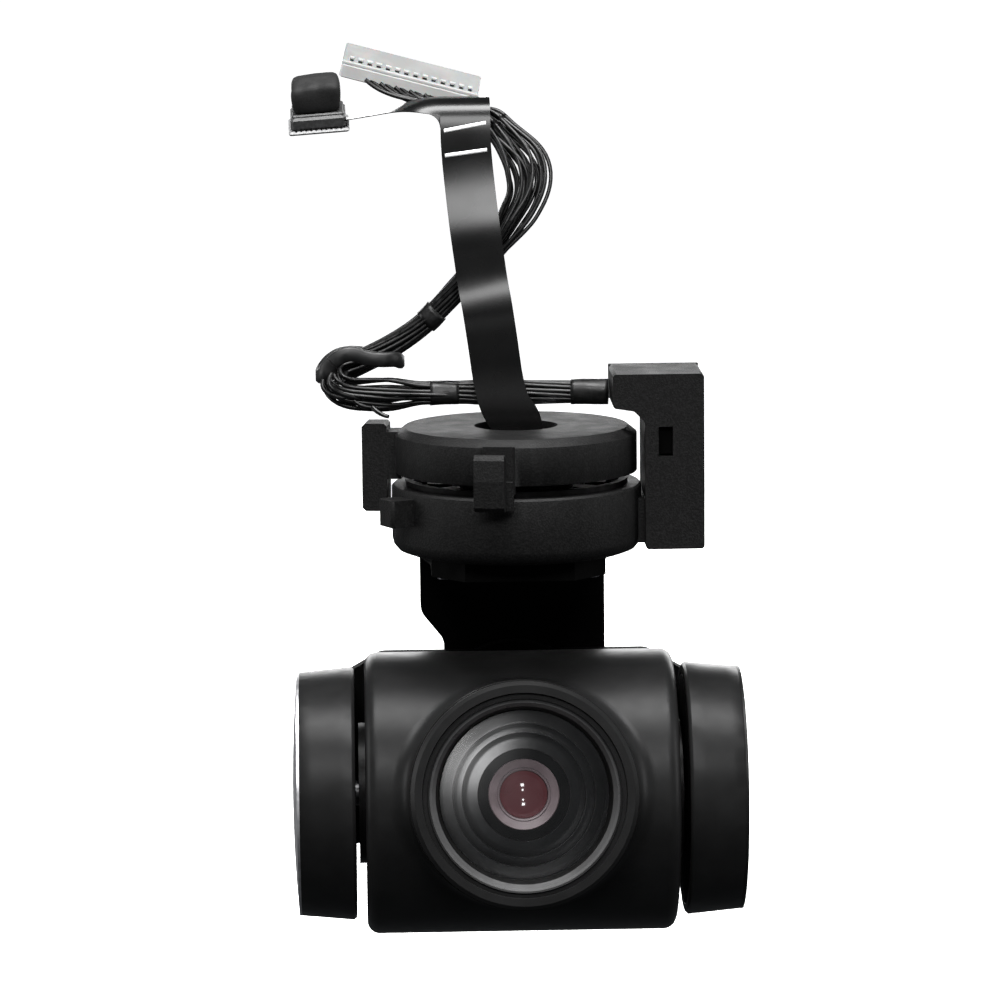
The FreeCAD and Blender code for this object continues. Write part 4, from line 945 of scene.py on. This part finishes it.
TILT_CENTRE = Vector((0.0, 0.0, -0.0447))
HEAD = Matrix.Translation(TILT_CENTRE) @ Matrix.Rotation(math.radians(-10.0), 4, "X")


def profile_mm(pairs):
    return [(r * MM, f * MM) for r, f in pairs]


def dome(radius, edge, crown, steps):
    """Profile points of a spherical front from its rim to just short of its centre."""
    sphere = (radius ** 2 + (crown - edge) ** 2) / (2 * (crown - edge))
    found = []
    for i in range(steps + 1):
        r = radius * (1 - i / steps)
        found.append((max(r, 0.01), crown - sphere + math.sqrt(sphere ** 2 - r ** 2)))
    return found


def lens():
    """The visible glass: a front element, stepped black mounts and the small element behind."""

    def turned(name, pairs, material, slot):
        made = lathe(name, profile_mm(pairs), material, HEAD)
        shade_by_angle(made, 30)
        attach(made, "camera_head")
        return made

    mounts = []
    front = turned("front_element",
                   [(0.01, 19.4)] + dome(9.6, 18.5, 19.4, 12)[-2::-1]
                   + [(9.6, 18.3), (9.98, 18.3)] + dome(9.98, 18.9, 20.15, 30),
                   MATERIALS["optical_glass"], "optical_glass")
    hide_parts("front_glass")
    front.visible_shadow = False
    front.visible_diffuse = False
    front.visible_glossy = False
    satin = lens_black("lens_satin", grey(0.0006), grey(0.0014), 0.33, 0.75)
    outer = turned("cup_ring_outer",
                   [(11.15, 15.3), (11.15, 20.1), (10.95, 20.3), (10.75, 20.1), (10.1, 18.7),
                    (10.05, 18.2), (10.05, 15.3)],
                   satin, "lens_black")
    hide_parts("lens_cup")
    # Outer radius, inner radius, front edge and how far the slope drops, in mm.
    steps = [(10.0, 8.42, 18.0, 0.78), (8.38, 7.32, 17.65, 0.44), (7.28, 5.45, 17.4, 0.60),
             (5.41, 4.24, 16.8, 0.02)]
    for i, (reach, inner, front_edge, drop) in enumerate(steps):
        middle = (reach + inner) / 2
        mounts.append(turned("mount_step_%d" % (i + 1), [
            (reach, 15.25), (reach, front_edge - drop - 0.06), (reach - 0.05, front_edge - drop),
            (middle, front_edge - 0.45 * drop), (inner + 0.05, front_edge),
            (inner, front_edge - 0.06), (inner, 15.25)],
            satin if drop > 0.1 else MATERIALS["arm_plastic"], "lens_black"))
    ring = turned("retainer_ring",
                  [(4.2, 15.2), (4.2, 16.7), (4.1, 16.8), (3.22, 16.6), (3.18, 16.45),
                   (3.12, 16.45), (3.08, 16.55), (2.9, 16.5), (2.82, 15.2)],
                  MATERIALS["retainer"], "retainer")
    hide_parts("lens_retainer")
    heart = turned("small_element",
                   [(0.01, 15.2), (2.8, 15.2)] + dome(2.8, 15.7, 16.4, 18), RED_GLOW, "optical_glass")
    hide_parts("inner_lenses")
    return front, heart, mounts


front_element, small_element, mount_steps = lens()


def lens_lights(front, heart, mounts):
    """A soft light for the glass and its mounts alone, and four points for the small element."""
    glass_only = bpy.data.collections.new("glass_only")
    heart_only = bpy.data.collections.new("heart_only")
    not_glass = bpy.data.collections.new("not_glass")
    heart_only.objects.link(heart)
    for piece in (front, *mounts):
        glass_only.objects.link(piece)
    not_from_above = bpy.data.collections.new("not_from_above")
    for group, pieces in ((not_glass, (front, heart, *mounts)),
                          (not_from_above, (front, heart, *mounts, plug_housing, plug_contacts))):
        for piece in pieces:
            group.objects.link(piece)
    for lamp in [o for o in bpy.context.scene.objects if o.type == "LIGHT"]:
        group = not_from_above if lamp.name == "overhead" else not_glass
        lamp.light_linking.receiver_collection = group
    for group in (not_glass, not_from_above):
        for member in group.collection_objects:
            member.light_linking.link_state = "EXCLUDE"
    glint_power = 60  # watts per square metre of each point's own area
    centre = HEAD @ Vector((0, -0.0165, 0))
    axis = HEAD.to_3x3()
    soft = area_light("glass_softbox", centre + axis @ Vector((-0.228, -0.268, 0.191)), centre,
                      (0.30, 0.34), 3.0)
    soft.light_linking.receiver_collection = glass_only
    for i, (rise, across, size) in enumerate(((30.6, -0.012, 0.055), (19.2, -0.006, 0.032),
                                              (-3.7, 0.0, 0.032), (-14.0, 0.006, 0.05))):
        away = Matrix.Rotation(math.radians(-rise), 3, "X") @ Vector((across, -0.5, 0))
        point = area_light("glint_%d" % i, centre + away, centre, (size, size),
                           glint_power * size * size)
        point.light_linking.receiver_collection = heart_only


lens_lights(front_element, small_element, mount_steps)


# ---------------------------------------------------------------- CAD nodes that show

for name, width in (("upper_housing", 0.00018), ("lower_housing", 0.00018),
                    ("control_box_case", 0.00012), ("yaw_arm", 0.00025),
                    ("roll_yoke", 0.00025), ("roll_motor_cap", 0.00015),
                    ("left_pod_housing", 0.00015), ("right_pod_housing", 0.00015)):
    soften(name, width)


# ---------------------------------------------------------------- bodies

for piece in (tape_low, tape_high, rubber_strap, strays, plug_leads, plug_housing, plug_contacts,
              ribbon_film, ribbon_marks, stiffener, connector_body, connector_contacts, foam):
    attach(piece, "mount")
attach(boot, "yaw_frame")
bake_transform(wires)
